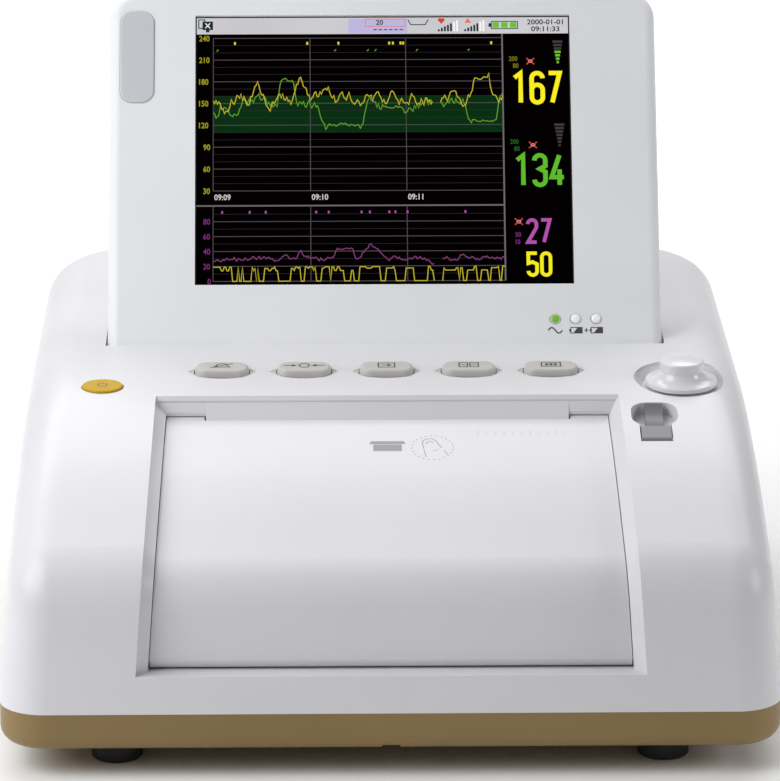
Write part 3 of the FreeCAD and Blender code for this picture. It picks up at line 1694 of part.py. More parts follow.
def board_post_spots():
    half_x = s.main_board_width / 2 - s.post_inset
    half_y = s.main_board_length / 2 - s.post_inset
    return [(board_x + x, board_middle + y) for x, y in corners(half_x, half_y)]


def battery_block(name, grow, low, high):
    half_x, half_y = s.battery_width / 2 + grow, s.battery_length / 2 + grow
    return block(name, (s.battery_offset - half_x, battery_middle - half_y, low),
                 (s.battery_offset + half_x, battery_middle + half_y, high))


def base_uprights():
    """Screw towers, trolley bosses and the posts under the boards, the tray and the recorder."""
    uprights = []

    def upright(name, radius, x, y, low, high):
        uprights.append(rod(name, radius, high - low, (x, y, low)))

    for i, (x, y) in enumerate(screw_spots()):
        upright(f"screw_tower_{i}", s.screw_boss, x, y, s.foot_height, border)
    for i, (x, y) in enumerate(foot_spots):
        upright(f"foot_boss_{i}", s.foot_radius + s.foot_edge, x, y, foot_top, floor_top)
    for i, (x, y) in enumerate(corners(s.trolley_pitch_x / 2, s.trolley_pitch_y / 2)):
        upright(f"trolley_boss_{i}", s.trolley_boss, x, y, s.foot_height,
                s.foot_height + s.trolley_depth + s.wall)
    for i, (x, y) in enumerate(board_post_spots()):
        upright(f"board_post_{i}", s.post_radius, x, y, s.foot_height, s.main_board_level)
    for i, x in enumerate((-s.tray_support_x, s.tray_support_x)):
        for j, y in enumerate((tray_start + s.tray_support_inset, tray_end - s.tray_support_inset)):
            upright(f"tray_post_{i}_{j}", s.support_radius, x, y, s.foot_height, s.tray_floor)
    for i, x in enumerate((-s.chassis_support_x, s.chassis_support_x)):
        upright(f"chassis_post_{i}", s.support_radius, x, tray_end + s.plate_length / 2,
                s.foot_height, plate_low)
    return uprights


def base_holes():
    """Screw, foot, trolley, battery, sound and air holes in the floor."""
    holes = []
    below = s.foot_height - s.foot_boss - s.wall
    for i, (x, y) in enumerate(screw_spots()):
        shank = rod(f"tower_hole_{i}", s.screw_radius + s.seat_gap / 2, border, (x, y, below))
        sink = rod(f"tower_sink_{i}", s.screw_head + s.seat_gap, head_seat - below, (x, y, below))
        holes.append(fuse(f"tower_step_{i}", shank, sink))
    for i, (x, y) in enumerate(foot_spots):
        holes.append(rod(f"foot_hole_{i}", s.foot_peg + s.fit_gap, s.foot_boss + s.foot_edge,
                         (x, y, foot_top)))
    for i, (x, y) in enumerate(corners(s.trolley_pitch_x / 2, s.trolley_pitch_y / 2)):
        holes.append(rod(f"trolley_hole_{i}", s.trolley_hole, s.trolley_depth, (x, y, s.foot_height)))
    for i, (x, y) in enumerate(board_post_spots()):
        holes.append(rod(f"board_pilot_{i}", s.battery_screw + s.fit_gap, s.post_inset,
                         (x, y, s.main_board_level - s.post_inset)))
    for i, side in enumerate((-1, 1)):
        holes.append(rod(f"battery_pilot_{i}", s.battery_screw + s.fit_gap, s.battery_screw_bite,
                         (s.battery_offset + side * battery_screw_x, battery_middle, battery_low)))
    slots = []
    for i in range(int(s.grille_slots.value)):
        y = speaker_at[1] + (i - (s.grille_slots - 1) / 2) * s.grille_pitch
        slots.append(block(f"grille_slot_{i}",
                           (speaker_at[0] - s.speaker_radius, y - s.grille_slot / 2, below),
                           (speaker_at[0] + s.speaker_radius, y + s.grille_slot / 2, floor_top + s.wall)))
    disc = rod("grille_disc", s.grille_radius, floor_top + s.wall - below, (*speaker_at, below))
    holes.append(common("grille", disc, group("grille_slots", slots)))
    for i in range(int(s.vent_slots.value)):
        y = board_middle + (i - (s.vent_slots - 1) / 2) * s.vent_pitch
        holes.append(block(f"vent_slot_{i}",
                           (s.vent_offset - s.vent_length / 2, y - s.vent_slot / 2, below),
                           (s.vent_offset + s.vent_length / 2, y + s.vent_slot / 2, floor_top + s.wall)))
    half = s.base_notch_width / 2
    holes.append(block("base_notch", (-half, front - s.wall, below),
                       (half, front + s.base_notch_depth, s.foot_height + s.base_notch_height)))
    return holes


def lower_housing():
    """The tan base tray with the battery bay in its floor."""
    plain = prism("base_plain", "XY", base_outline(as_dim(0)), s.tray_height, at=s.foot_height)

    def bottom_edge(shape, edge):
        return high_end(edge) < s.foot_height.value + TOUCH

    form = soften("base_form", plain, s.tray_edge, bottom_edge)
    raw_room = prism("base_raw_room", "XY", base_outline(s.wall), s.tray_height, at=floor_top)

    def floor_edge(shape, edge):
        return high_end(edge) < floor_top.value + TOUCH

    room = soften("base_room", raw_room, s.tray_edge - s.wall, floor_edge)
    pad = battery_block("battery_pad", s.battery_lip + s.wall, s.foot_height, pad_top)
    tub = battery_block("battery_tub", s.battery_gap + s.wall, s.foot_height,
                        battery_top + s.battery_gap + s.wall)
    solid = fuse("base_solid", cut("base_shell", form, room), pad, tub, *base_uprights())
    well = fuse("battery_well",
                battery_block("battery_room", s.battery_gap, foot_top, battery_top + s.battery_gap),
                battery_block("battery_rebate", s.battery_lip + s.panel_gap, foot_top, battery_low))
    return cut("lower_housing", cut("base_open", solid, well), group("base_holes", base_holes()))


def rubber_feet():
    feet = []
    for i, (x, y) in enumerate(foot_spots):
        edge = s.foot_edge
        foot = turned(f"rubber_foot_{i}", polygon(
            (0, 0),
            (s.foot_radius - edge, 0),
            (s.foot_radius, edge),
            (s.foot_radius, foot_top),
            (s.foot_peg, foot_top),
            (s.foot_peg, s.foot_height),
            (0, s.foot_height),
        ))
        feet.append(shifted(foot, x, y))
    return group("rubber_feet", feet)


def case_screws():
    screws = []
    for i, (x, y) in enumerate(screw_spots()):
        shank = rod(f"case_shank_{i}", s.screw_radius, border + s.screw_depth - s.wall - head_seat,
                    (x, y, head_seat))
        head = rod(f"case_head_{i}", s.screw_head, s.screw_head_height,
                   (x, y, head_seat - s.screw_head_height))
        screws.append(fuse(f"case_screw_{i}", shank, head))
    return group("case_screws", screws)


def main_board():
    half_x, half_y = s.main_board_width / 2, s.main_board_length / 2
    top = s.main_board_level + s.board_thickness
    board = prism("board_plate", "XY", rectangle(board_x, board_middle, half_x, half_y),
                  s.board_thickness, at=s.main_board_level)
    chip_half = s.chip_size / 2
    chips = []
    for i, x in enumerate((board_x - s.chip_size, board_x + s.chip_size)):
        chips.append(block(f"board_chip_{i}", (x - chip_half, board_middle - chip_half, top),
                           (x + chip_half, board_middle + chip_half, top + s.chip_height)))
    for i in range(int(s.plug_count.value)):
        x = board_x + (i - (s.plug_count - 1) / 2) * s.plug_pitch
        chips.append(block(f"board_plug_{i}", (x - s.plug_width / 2, board_front, top),
                           (x + s.plug_width / 2, board_front + s.plug_depth, top + s.plug_height)))
    holes = [rod(f"board_hole_{i}", s.battery_screw + s.seat_gap / 2, s.board_thickness,
                 (x, y, s.main_board_level))
             for i, (x, y) in enumerate(board_post_spots())]
    return cut("main_board", fuse("board_filled", board, *chips), group("board_screw_holes", holes))


def board_screws():
    screws = []
    top = s.main_board_level + s.board_thickness
    for i, (x, y) in enumerate(board_post_spots()):
        reach = s.board_thickness + s.post_inset - s.seat_gap
        shank = rod(f"board_shank_{i}", s.battery_screw, reach, (x, y, top - reach))
        head = rod(f"board_head_{i}", s.battery_screw_head, s.screw_head_height, (x, y, top))
        screws.append(fuse(f"board_screw_{i}", shank, head))
    return group("board_screws", screws)


def power_supply():
    low = (-supply_inner - s.supply_width, supply_end - s.supply_length, floor_top)
    return block("power_supply", low, (-supply_inner, supply_end, floor_top + s.supply_height))


def battery_cover():
    plate = battery_block("battery_plate", s.battery_lip, s.foot_height, battery_low)
    holes = []
    for i, side in enumerate((-1, 1)):
        place = (s.battery_offset + side * battery_screw_x, battery_middle, s.foot_height)
        hole = rod(f"cover_screw_hole_{i}", s.battery_screw + s.seat_gap / 2, s.battery_cover, place)
        sink = rod(f"cover_screw_sink_{i}", s.battery_screw_head + s.seat_gap, s.battery_screw_sink,
                   place)
        holes.append(fuse(f"cover_screw_step_{i}", hole, sink))
    return cut("battery_cover", plate, group("battery_cover_holes", holes))


def battery_screws():
    screws = []
    seat = s.foot_height + s.battery_screw_sink
    for i, side in enumerate((-1, 1)):
        x = s.battery_offset + side * battery_screw_x
        shank = rod(f"battery_shank_{i}", s.battery_screw,
                    s.battery_cover - s.battery_screw_sink + s.battery_screw_bite
                    - s.seat_gap, (x, battery_middle, seat))
        head = rod(f"battery_head_{i}", s.battery_screw_head, s.battery_screw_sink,
                   (x, battery_middle, s.foot_height))
        screws.append(fuse(f"battery_screw_{i}", shank, head))
    return group("battery_screws", screws)


def loudspeaker():
    body = turned("loudspeaker", polygon(
        (0, 0),
        (s.speaker_radius, 0),
        (s.speaker_radius, s.speaker_rim),
        (s.speaker_magnet, s.speaker_height / 2),
        (s.speaker_magnet, s.speaker_height),
        (0, s.speaker_height),
    ))
    move_to(body, (*speaker_at, floor_top))
    return body


# Sockets on the left side and on the back
port_front = panel_face + s.flange_height


def port_spots():
    count = int(s.port_count.value)
    return [panel_middle[0] + (i - (s.port_count - 1) / 2) * s.port_pitch for i in range(count)]


def connector_panel():
    half_y, half_z = s.panel_length / 2, s.panel_height / 2
    gap = s.panel_gap
    plate = prism("panel_plate", "YZ", rounded(*panel_middle, half_y - gap, half_z - gap,
                                               s.panel_corner - gap),
                  s.panel_thickness, at=-panel_face)
    rim = s.panel_lip - gap
    flange = prism("panel_flange", "YZ", rectangle(*panel_middle, half_y + rim, half_z + rim),
                   s.panel_thickness, at=-panel_seat)
    holes = [rod(f"port_hole_{i}", s.port_barrel + s.fit_gap, s.panel_thickness * 4,
                 (-panel_face - s.panel_thickness, y,
                  panel_middle[1]), "X") for i, y in enumerate(port_spots())]
    return cut("connector_panel", fuse("panel_solid", plate, flange), group("port_holes", holes))


def transducer_sockets():
    sockets = []
    for i, y in enumerate(port_spots()):
        place = (-port_front, y, panel_middle[1])
        flange = rod(f"port_flange_{i}", s.port_flange, s.flange_height, place, "X")
        barrel = rod(f"port_barrel_{i}", s.port_barrel, s.flange_height + s.port_reach, place, "X")
        bore = rod(f"port_bore_{i}", s.port_bore, s.port_depth, place, "X")
        sockets.append(cut(f"transducer_socket_{i}", fuse(f"port_solid_{i}", flange, barrel), bore))
    return group("transducer_sockets", sockets)


rear_face = rear_seat + s.panel_thickness


def rear_box(name, x, half_x, half_z, low, high):
    return block(name, (x - half_x, low, rear_middle - half_z), (x + half_x, high, rear_middle + half_z))


inlet_half_x = s.inlet_width / 2 + s.inlet_wall
inlet_half_z = s.inlet_height / 2 + s.inlet_wall


def rear_panel():
    gap = s.panel_gap
    half_x, half_z = s.rear_width / 2, s.rear_height / 2
    plate = prism("rear_plate", "XZ", rounded(0, rear_middle, half_x - gap, half_z - gap,
                                              s.panel_corner - gap),
                  s.panel_thickness, at=rear_seat)
    rim = s.panel_lip - gap
    flange_low = rear_seat - s.panel_thickness
    flange = prism("rear_flange", "XZ", rectangle(0, rear_middle, half_x + rim, half_z + rim),
                   s.panel_thickness, at=flange_low)
    low, high = flange_low - s.wall, rear_face + s.wall
    holes = [rear_box("inlet_hole", s.inlet_offset, inlet_half_x + gap, inlet_half_z + gap, low, high),
             rear_box("network_hole", s.network_offset, s.network_width / 2 + gap,
                      s.network_height / 2 + gap, low, high),
             rod("earth_hole", s.earth_radius + s.fit_gap, high - low,
                 (s.earth_offset, low, rear_middle), "Y")]
    return cut("rear_panel", fuse("rear_solid", plate, flange), group("rear_holes", holes))


def mains_inlet():
    """A recessed inlet with a rim on the panel and three blades."""
    x = s.inlet_offset
    inner = rear_face + s.flange_height - s.inlet_depth
    rim = s.inlet_rim
    body = rear_box("inlet_body", x, inlet_half_x, inlet_half_z, inner, rear_face)
    edge = rear_box("inlet_edge", x, inlet_half_x + rim, inlet_half_z + rim, rear_face,
                    rear_face + s.flange_height)
    room = rear_box("inlet_room", x, s.inlet_width / 2, s.inlet_height / 2, inner + s.inlet_wall,
                    rear_face + s.wall)
    blades = []
    for i, (step, rise) in enumerate(((-1, -1), (0, 1), (1, -1))):
        middle_x = x + step * s.blade_pitch
        middle_z = rear_middle + rise * s.blade_width / 2
        blades.append(block(f"inlet_blade_{i}",
                            (middle_x - s.blade_thickness / 2, inner, middle_z - s.blade_width / 2),
                            (middle_x + s.blade_thickness / 2, inner + s.inlet_wall + s.blade_length,
                             middle_z + s.blade_width / 2)))
    return fuse("mains_inlet", cut("inlet_shell", fuse("inlet_solid", body, edge), room), *blades)


def network_socket():
    x = s.network_offset
    face = rear_face + s.panel_gap
    body = rear_box("network_body", x, s.network_width / 2, s.network_height / 2,
                    face - s.network_depth, face)
    mouth = rear_box("network_mouth", x, s.network_mouth / 2, s.network_mouth_height / 2,
                     face - s.network_reach, face)
    return cut("network_socket", body, mouth)


def equipotential_post():
    low = rear_seat - s.panel_thickness
    pin = rod("earth_pin", s.earth_radius, rear_face + s.earth_reach - low,
              (s.earth_offset, low, rear_middle), "Y")
    nut = rod("earth_collar", s.earth_radius * 2, s.flange_height,
              (s.earth_offset, rear_face, rear_middle), "Y")
    return fuse("equipotential_post", pin, nut)


NODES = {
    "upper_housing": upper_housing(),
    "lower_housing": lower_housing(),
    "rubber_feet": rubber_feet(),
    "case_screws": case_screws(),
    "screen_bezel": screen_bezel(),
    "screen_rear_cover": screen_rear_cover(),
    "screen_screws": screen_screws(),
    "lcd_glass": display_layer("lcd_glass", s.lcd_margin, bezel_inside, s.glass_thickness),
    "lcd_module": display_layer("lcd_module", s.lcd_margin, glass_back, s.lcd_thickness),
    "display_board": display_board(),
    "alarm_lamp_lens": alarm_lamp_lens(),
    "alarm_lamp_board": alarm_lamp_board(),
    "status_indicators": status_indicators(),
    "indicator_board": indicator_board(),
    "screen_hinge_pins": screen_hinge_pins(),
    "keypad_board": keypad_board(),
    "key_switches": key_switches(),
    "power_key": power_key(),
    "power_switch_board": power_switch_board(),
    "encoder_knob": encoder_knob(),
    "encoder_shaft": encoder_shaft(),
    "encoder_plunger": encoder_plunger(),
    "encoder_body": encoder_body(),
    "door_latch": door_latch(),
    "latch_pin": latch_pin(),
    "recorder_door": recorder_door(),
    "door_hinge_pins": door_hinge_pins(),
    "paper_tray": paper_tray(),
    "recorder_chassis": recorder_chassis(),
    "platen_roller": platen_roller(),
    "platen_shaft": platen_shaft(),
    "platen_bushes": platen_bushes(),
    "platen_gear": platen_gear(),
    "idler_gear": idler_gear(),
    "idler_stud": idler_stud(),
    "recorder_motor": recorder_motor(),
    "motor_shaft": motor_shaft(),
    "motor_pinion": motor_pinion(),
    "print_head": print_head(),
    "tear_bar": tear_bar(),
    "main_board": main_board(),
    "board_screws": board_screws(),
    "power_supply": power_supply(),
    "battery_pack": battery_block("battery_pack", 0, battery_low, battery_top),
    "battery_cover": battery_cover(),
    "battery_screws": battery_screws(),
    "loudspeaker": loudspeaker(),
    "connector_panel": connector_panel(),
    "transducer_sockets": transducer_sockets(),
    "rear_panel": rear_panel(),
    "mains_inlet": mains_inlet(),
    "network_socket": network_socket(),
    "equipotential_post": equipotential_post(),
}
for number, key_x in enumerate(key_spots(), 1):
    NODES[f"function_key_{number}"] = function_key(number, key_x)

doc.recompute()
for item in doc.Objects:
    if "Invalid" in item.State or "Error" in item.State:
        raise RuntimeError(f"{item.Name} did not build: {item.State}")
for node, item in NODES.items():
    if item.Shape.isNull() or not item.Shape.isValid() or not item.Shape.Solids:
        raise RuntimeError(f"{node} is not a sound solid")
    item.Label = node

os.makedirs("parts", exist_ok=True)
for node, item in NODES.items():
    item.Shape.exportStep(f"parts/{node}.step")
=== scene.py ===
# Fetal monitor: finishes, display picture, symbols, small fillings, light and camera over the solids.
import json
import math
import random

import bpy
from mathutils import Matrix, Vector


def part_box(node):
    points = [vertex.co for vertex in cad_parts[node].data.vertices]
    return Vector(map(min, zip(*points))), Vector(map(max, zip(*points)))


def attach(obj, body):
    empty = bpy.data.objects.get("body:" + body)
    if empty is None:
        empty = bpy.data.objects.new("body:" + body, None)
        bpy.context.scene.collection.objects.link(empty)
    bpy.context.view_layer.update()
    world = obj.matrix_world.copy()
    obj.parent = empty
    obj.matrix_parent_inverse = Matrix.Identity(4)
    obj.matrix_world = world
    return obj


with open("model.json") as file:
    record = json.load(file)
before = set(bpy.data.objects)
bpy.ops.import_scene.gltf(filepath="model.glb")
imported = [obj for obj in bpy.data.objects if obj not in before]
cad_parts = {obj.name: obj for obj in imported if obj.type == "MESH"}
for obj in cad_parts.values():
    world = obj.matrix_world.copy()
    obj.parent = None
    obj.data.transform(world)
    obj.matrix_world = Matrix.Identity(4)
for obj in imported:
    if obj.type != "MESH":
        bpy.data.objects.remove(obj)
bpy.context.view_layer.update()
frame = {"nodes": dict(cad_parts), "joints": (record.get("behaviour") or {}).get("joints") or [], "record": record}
NODES = frame["nodes"]
JOINTS = {joint["name"]: joint for joint in frame["joints"]}
MM = 0.001
RIGHT = Vector((1, 0, 0))

# Camera of the photograph, in pixels and metres: it sees the middle of the front seam at SEAM_PIXEL
IMAGE_SIZE = (780, 781)
FOCAL_PIXELS = 4820
CAMERA_ELEVATION = math.radians(16)
CAMERA_AZIMUTH = math.radians(-0.9)
CAMERA_DISTANCE = 2.03
SENSOR = 36
SEAM_PIXEL = (391.5, 713.5)

seam = Vector((0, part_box("lower_housing")[0][1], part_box("upper_housing")[0][2]))
camera_away = Vector((math.sin(CAMERA_AZIMUTH) * math.cos(CAMERA_ELEVATION),
                      -math.cos(CAMERA_AZIMUTH) * math.cos(CAMERA_ELEVATION),
                      math.sin(CAMERA_ELEVATION)))
camera_across = Vector((math.cos(CAMERA_AZIMUTH), math.sin(CAMERA_AZIMUTH), 0))
camera_up = camera_across.cross(-camera_away)


def from_middle(pixel):
    """How far a pixel lies to the right of the image's middle and above it."""
    return pixel[0] - IMAGE_SIZE[0] / 2, IMAGE_SIZE[1] / 2 - pixel[1]


seam_right, seam_above = from_middle(SEAM_PIXEL)
pixel_at_seam = CAMERA_DISTANCE / FOCAL_PIXELS
camera_place = (seam + camera_away * CAMERA_DISTANCE - camera_across * (seam_right * pixel_at_seam)
                - camera_up * (seam_above * pixel_at_seam))


def seen_on(node, pixel):
    """The point of a solid that the photograph shows at a pixel, and the way its surface faces there."""
    right, above = from_middle(pixel)
    sight = camera_across * right + camera_up * above - camera_away * FOCAL_PIXELS
    _, point, normal, _ = NODES[node].ray_cast(camera_place, sight.normalized())
    return point, normal


# Finishes
DISPLAY_GAMMA = 2.2
FULL_CHANNEL = 255


def shown(red, green, blue):
    """The light of a colour given the way a display shows it, from 0 to 255."""
    return tuple((channel / FULL_CHANNEL) ** DISPLAY_GAMMA for channel in (red, green, blue))


def shader(name):
    """A new material with its nodes, links and main shader."""
    material = bpy.data.materials.new(name)
    material.use_nodes = True
    nodes = material.node_tree.nodes
    return material, nodes, material.node_tree.links, nodes["Principled BSDF"]


def noise(nodes, links, scale, detail=2.0):
    """Noise in the object's own coordinates."""
    place = nodes.new("ShaderNodeTexCoord")
    texture = nodes.new("ShaderNodeTexNoise")
    texture.inputs["Scale"].default_value = scale
    texture.inputs["Detail"].default_value = detail
    links.new(place.outputs["Object"], texture.inputs["Vector"])
    return texture


BLEND_LOW, BLEND_HIGH = 0.35, 0.65


def blend_colours(nodes, links, texture, first, second):
    """A ramp between two colours driven by a texture."""
    ramp = nodes.new("ShaderNodeValToRGB")
    ramp.color_ramp.elements[0].position = BLEND_LOW
    ramp.color_ramp.elements[0].color = (*first, 1)
    ramp.color_ramp.elements[1].position = BLEND_HIGH
    ramp.color_ramp.elements[1].color = (*second, 1)
    links.new(texture.outputs["Fac"], ramp.inputs["Fac"])
    return ramp


def spread(nodes, links, texture, low, high):
    """A value that wanders between two limits with a texture."""
    span = nodes.new("ShaderNodeMapRange")
    span.inputs["To Min"].default_value = low
    span.inputs["To Max"].default_value = high
    links.new(texture.outputs["Fac"], span.inputs["Value"])
    return span


CLOUD_SCALE = 14.0
WEAR_SCALE = 60.0
WEAR_DETAIL = 4.0
GLOSS_SPREAD = 0.15
GRAIN_DETAIL = 3.0
GRAIN_STRENGTH = 0.35
COAT_ROUGHNESS = 0.08


def moulded(name, colour, roughness, grain_scale, grain_depth, mottle,
            coat=0.0, metallic=0.0, specular=0.5):
    """Moulded plastic: faint mottling, uneven gloss and a fine grain, whose depth is in millimetres."""
    material, nodes, links, main = shader(name)
    cloud = noise(nodes, links, CLOUD_SCALE)
    darker = [channel * (1 - mottle) for channel in colour]
    lighter = [min(channel * (1 + mottle), 1.0) for channel in colour]
    tint = blend_colours(nodes, links, cloud, darker, lighter)
    links.new(tint.outputs["Color"], main.inputs["Base Color"])
    wear = noise(nodes, links, WEAR_SCALE, WEAR_DETAIL)
    gloss = spread(nodes, links, wear, roughness * (1 - GLOSS_SPREAD), roughness * (1 + GLOSS_SPREAD))
    links.new(gloss.outputs["Result"], main.inputs["Roughness"])
    grain = noise(nodes, links, grain_scale, GRAIN_DETAIL)
    bump = nodes.new("ShaderNodeBump")
    bump.inputs["Strength"].default_value = GRAIN_STRENGTH
    bump.inputs["Distance"].default_value = grain_depth * MM
    links.new(grain.outputs["Fac"], bump.inputs["Height"])
    links.new(bump.outputs["Normal"], main.inputs["Normal"])
    main.inputs["Metallic"].default_value = metallic
    main.inputs["Specular IOR Level"].default_value = specular
    main.inputs["Coat Weight"].default_value = coat
    main.inputs["Coat Roughness"].default_value = COAT_ROUGHNESS
    return material


STREAK = (4.0, 160.0, 160.0)
STREAK_SCALE = 6.0
STREAK_DETAIL = 5.0
STREAK_DARK = 0.82
STREAK_GLOSS = 0.3


def metal(name, colour, roughness):
    """Metal with fine drawn lines."""
    material, nodes, links, main = shader(name)
    place = nodes.new("ShaderNodeTexCoord")
    stretch = nodes.new("ShaderNodeMapping")
    stretch.inputs["Scale"].default_value = STREAK
    lines = nodes.new("ShaderNodeTexNoise")
    lines.inputs["Scale"].default_value = STREAK_SCALE
    lines.inputs["Detail"].default_value = STREAK_DETAIL
    links.new(place.outputs["Object"], stretch.inputs["Vector"])
    links.new(stretch.outputs["Vector"], lines.inputs["Vector"])
    darker = [channel * STREAK_DARK for channel in colour]
    tint = blend_colours(nodes, links, lines, darker, colour)
    links.new(tint.outputs["Color"], main.inputs["Base Color"])
    gloss = spread(nodes, links, lines, roughness * (1 - STREAK_GLOSS), roughness * (1 + STREAK_GLOSS))
    links.new(gloss.outputs["Result"], main.inputs["Roughness"])
    main.inputs["Metallic"].default_value = 1.0
    return material


BACKLIGHT_SCALE = 25.0
BACKLIGHT_DARK = 0.94


def lit(name, colour):
    """A glowing area of the display, with the faint unevenness of its backlight."""
    material, nodes, links, main = shader(name)
    cloud = noise(nodes, links, BACKLIGHT_SCALE)
    darker = [channel * BACKLIGHT_DARK for channel in colour]
    glow = blend_colours(nodes, links, cloud, darker, colour)
    links.new(glow.outputs["Color"], main.inputs["Emission Color"])
    main.inputs["Emission Strength"].default_value = 1.0
    main.inputs["Base Color"].default_value = (0, 0, 0, 1)
    main.inputs["Specular IOR Level"].default_value = 0.0
    return material


FROST_WEIGHT = 0.35
FROST_REACH = 4 * MM


def frosted(name, colour):
    """Frosted translucent plastic."""
    material = moulded(name, colour, 0.32, 900.0, 0.04, mottle=0.02, coat=0.4)
    main = material.node_tree.nodes["Principled BSDF"]
    main.inputs["Subsurface Weight"].default_value = FROST_WEIGHT
    main.inputs["Subsurface Radius"].default_value = (FROST_REACH, FROST_REACH, FROST_REACH)
    return material


def shade_along_depth(material, start, end, first, second):
    """Turns a material's colour from one to another between two places from front to back."""
    nodes, links = material.node_tree.nodes, material.node_tree.links
    place = nodes.new("ShaderNodeTexCoord")
    axes = nodes.new("ShaderNodeSeparateXYZ")
    links.new(place.outputs["Object"], axes.inputs["Vector"])
    depth = nodes.new("ShaderNodeMapRange")
    depth.inputs["From Min"].default_value = start
    depth.inputs["From Max"].default_value = end
    links.new(axes.outputs["Y"], depth.inputs["Value"])
    tone = nodes.new("ShaderNodeValToRGB")
    tone.color_ramp.elements[0].color = (*first, 1)
    tone.color_ramp.elements[1].color = (*second, 1)
    links.new(depth.outputs["Result"], tone.inputs["Fac"])
    links.new(tone.outputs["Color"], nodes["Principled BSDF"].inputs["Base Color"])
    return material


# Painted shade on the latch: where the darker leg begins along the depth, and the distance over which it fades in
LATCH_SHOULDER = -95.2 * MM
LATCH_BLEND = 2 * MM


def worn_latch(name, tab_colour, painted_leg_shade):
    """Grey plastic with painted shade: its leg, deep in the scoop, is painted darker than the tab."""
    material = moulded(name, tab_colour, 0.40, 1400.0, 0.06, mottle=0.04)
    return shade_along_depth(material, LATCH_SHOULDER, LATCH_SHOULDER + LATCH_BLEND, tab_colour, painted_leg_shade)


def white_plastic(name):
    """The smooth white of the outer shells."""
    return moulded(name, (0.70, 0.70, 0.725), 0.40, 700.0, 0.03, mottle=0.012, coat=0.1)


# Each plastic has its colour, its roughness, the fineness of its grain and the depth of its grain
FINISHES = {
    "white_shell": white_plastic("white_shell"),
    "door_white": white_plastic("door_white"),
    "screen_cover": white_plastic("screen_cover"),
    "bezel_grey": moulded("bezel_grey", (0.81, 0.82, 0.84), 0.5, 1500.0, 0.06, mottle=0.015),
    "tan_base": moulded("tan_base", (0.255, 0.170, 0.062), 0.42, 1600.0, 0.06, mottle=0.05, metallic=0.2),
    "key_grey": moulded("key_grey", (0.53, 0.51, 0.49), 0.42, 1400.0, 0.05, mottle=0.02),
    "power_gold": moulded("power_gold", (0.55, 0.35, 0.02), 0.45, 1400.0, 0.04, mottle=0.03, specular=0.15),
    "knob_silver": moulded("knob_silver", (0.74, 0.74, 0.755), 0.2, 500.0, 0.01, mottle=0.01, coat=0.25),
    "latch_grey": worn_latch("latch_grey", (0.20, 0.20, 0.21), (0.155, 0.155, 0.16)),
    "rubber": moulded("rubber", (0.025, 0.025, 0.026), 0.75, 2200.0, 0.1, mottle=0.15),
    "display_glass": moulded("display_glass", (0.006, 0.006, 0.008), 0.16, 40.0, 0.01,
                             mottle=0.2, coat=0.6),
    "lamp_lens": frosted("lamp_lens", (0.60, 0.62, 0.65)),
    "indicator": frosted("indicator", (0.72, 0.74, 0.74)),
    "steel": metal("steel", (0.55, 0.55, 0.56), 0.3),
    "aluminium": metal("aluminium", (0.70, 0.71, 0.72), 0.35),
    "brass": metal("brass", (0.72, 0.52, 0.20), 0.28),
    "circuit_board": moulded("circuit_board", (0.012, 0.09, 0.035), 0.38, 500.0, 0.08,
                             mottle=0.25, coat=0.3),
    "dark_plastic": moulded("dark_plastic", (0.018, 0.018, 0.02), 0.45, 1400.0, 0.06, mottle=0.15),
    "grey_plastic": moulded("grey_plastic", (0.24, 0.245, 0.25), 0.45, 1500.0, 0.06, mottle=0.04),
    "gear_plastic": moulded("gear_plastic", (0.72, 0.69, 0.60), 0.4, 900.0, 0.04, mottle=0.03),
    "battery_wrap": moulded("battery_wrap", (0.02, 0.03, 0.08), 0.3, 300.0, 0.1, mottle=0.2),
}

for part in frame["record"]["subparts"]:
    solid = NODES[part["node"]]
    solid.data.materials.clear()
    solid.data.materials.append(FINISHES[part["material_slot"]])


# Flat drawings, in millimetres on a plane
FULL_TURN = 360
ROUND_STEPS = 24
MITRE_LIMIT = 0.5
FIGURE_STEPS = 3
FIGURE_WEIGHT = 0.018


def arc(x, y, radius, start, end, steps=12):
    """Points along an arc, with its angles in degrees."""
    turns = [math.radians(start + (end - start) * i / steps) for i in range(steps + 1)]
    return [(x + radius * math.cos(turn), y + radius * math.sin(turn)) for turn in turns]


def full_round(x, y, radius):
    """Points all around a circle, without the first one again."""
    return arc(x, y, radius, 0, FULL_TURN - FULL_TURN / ROUND_STEPS, ROUND_STEPS - 1)


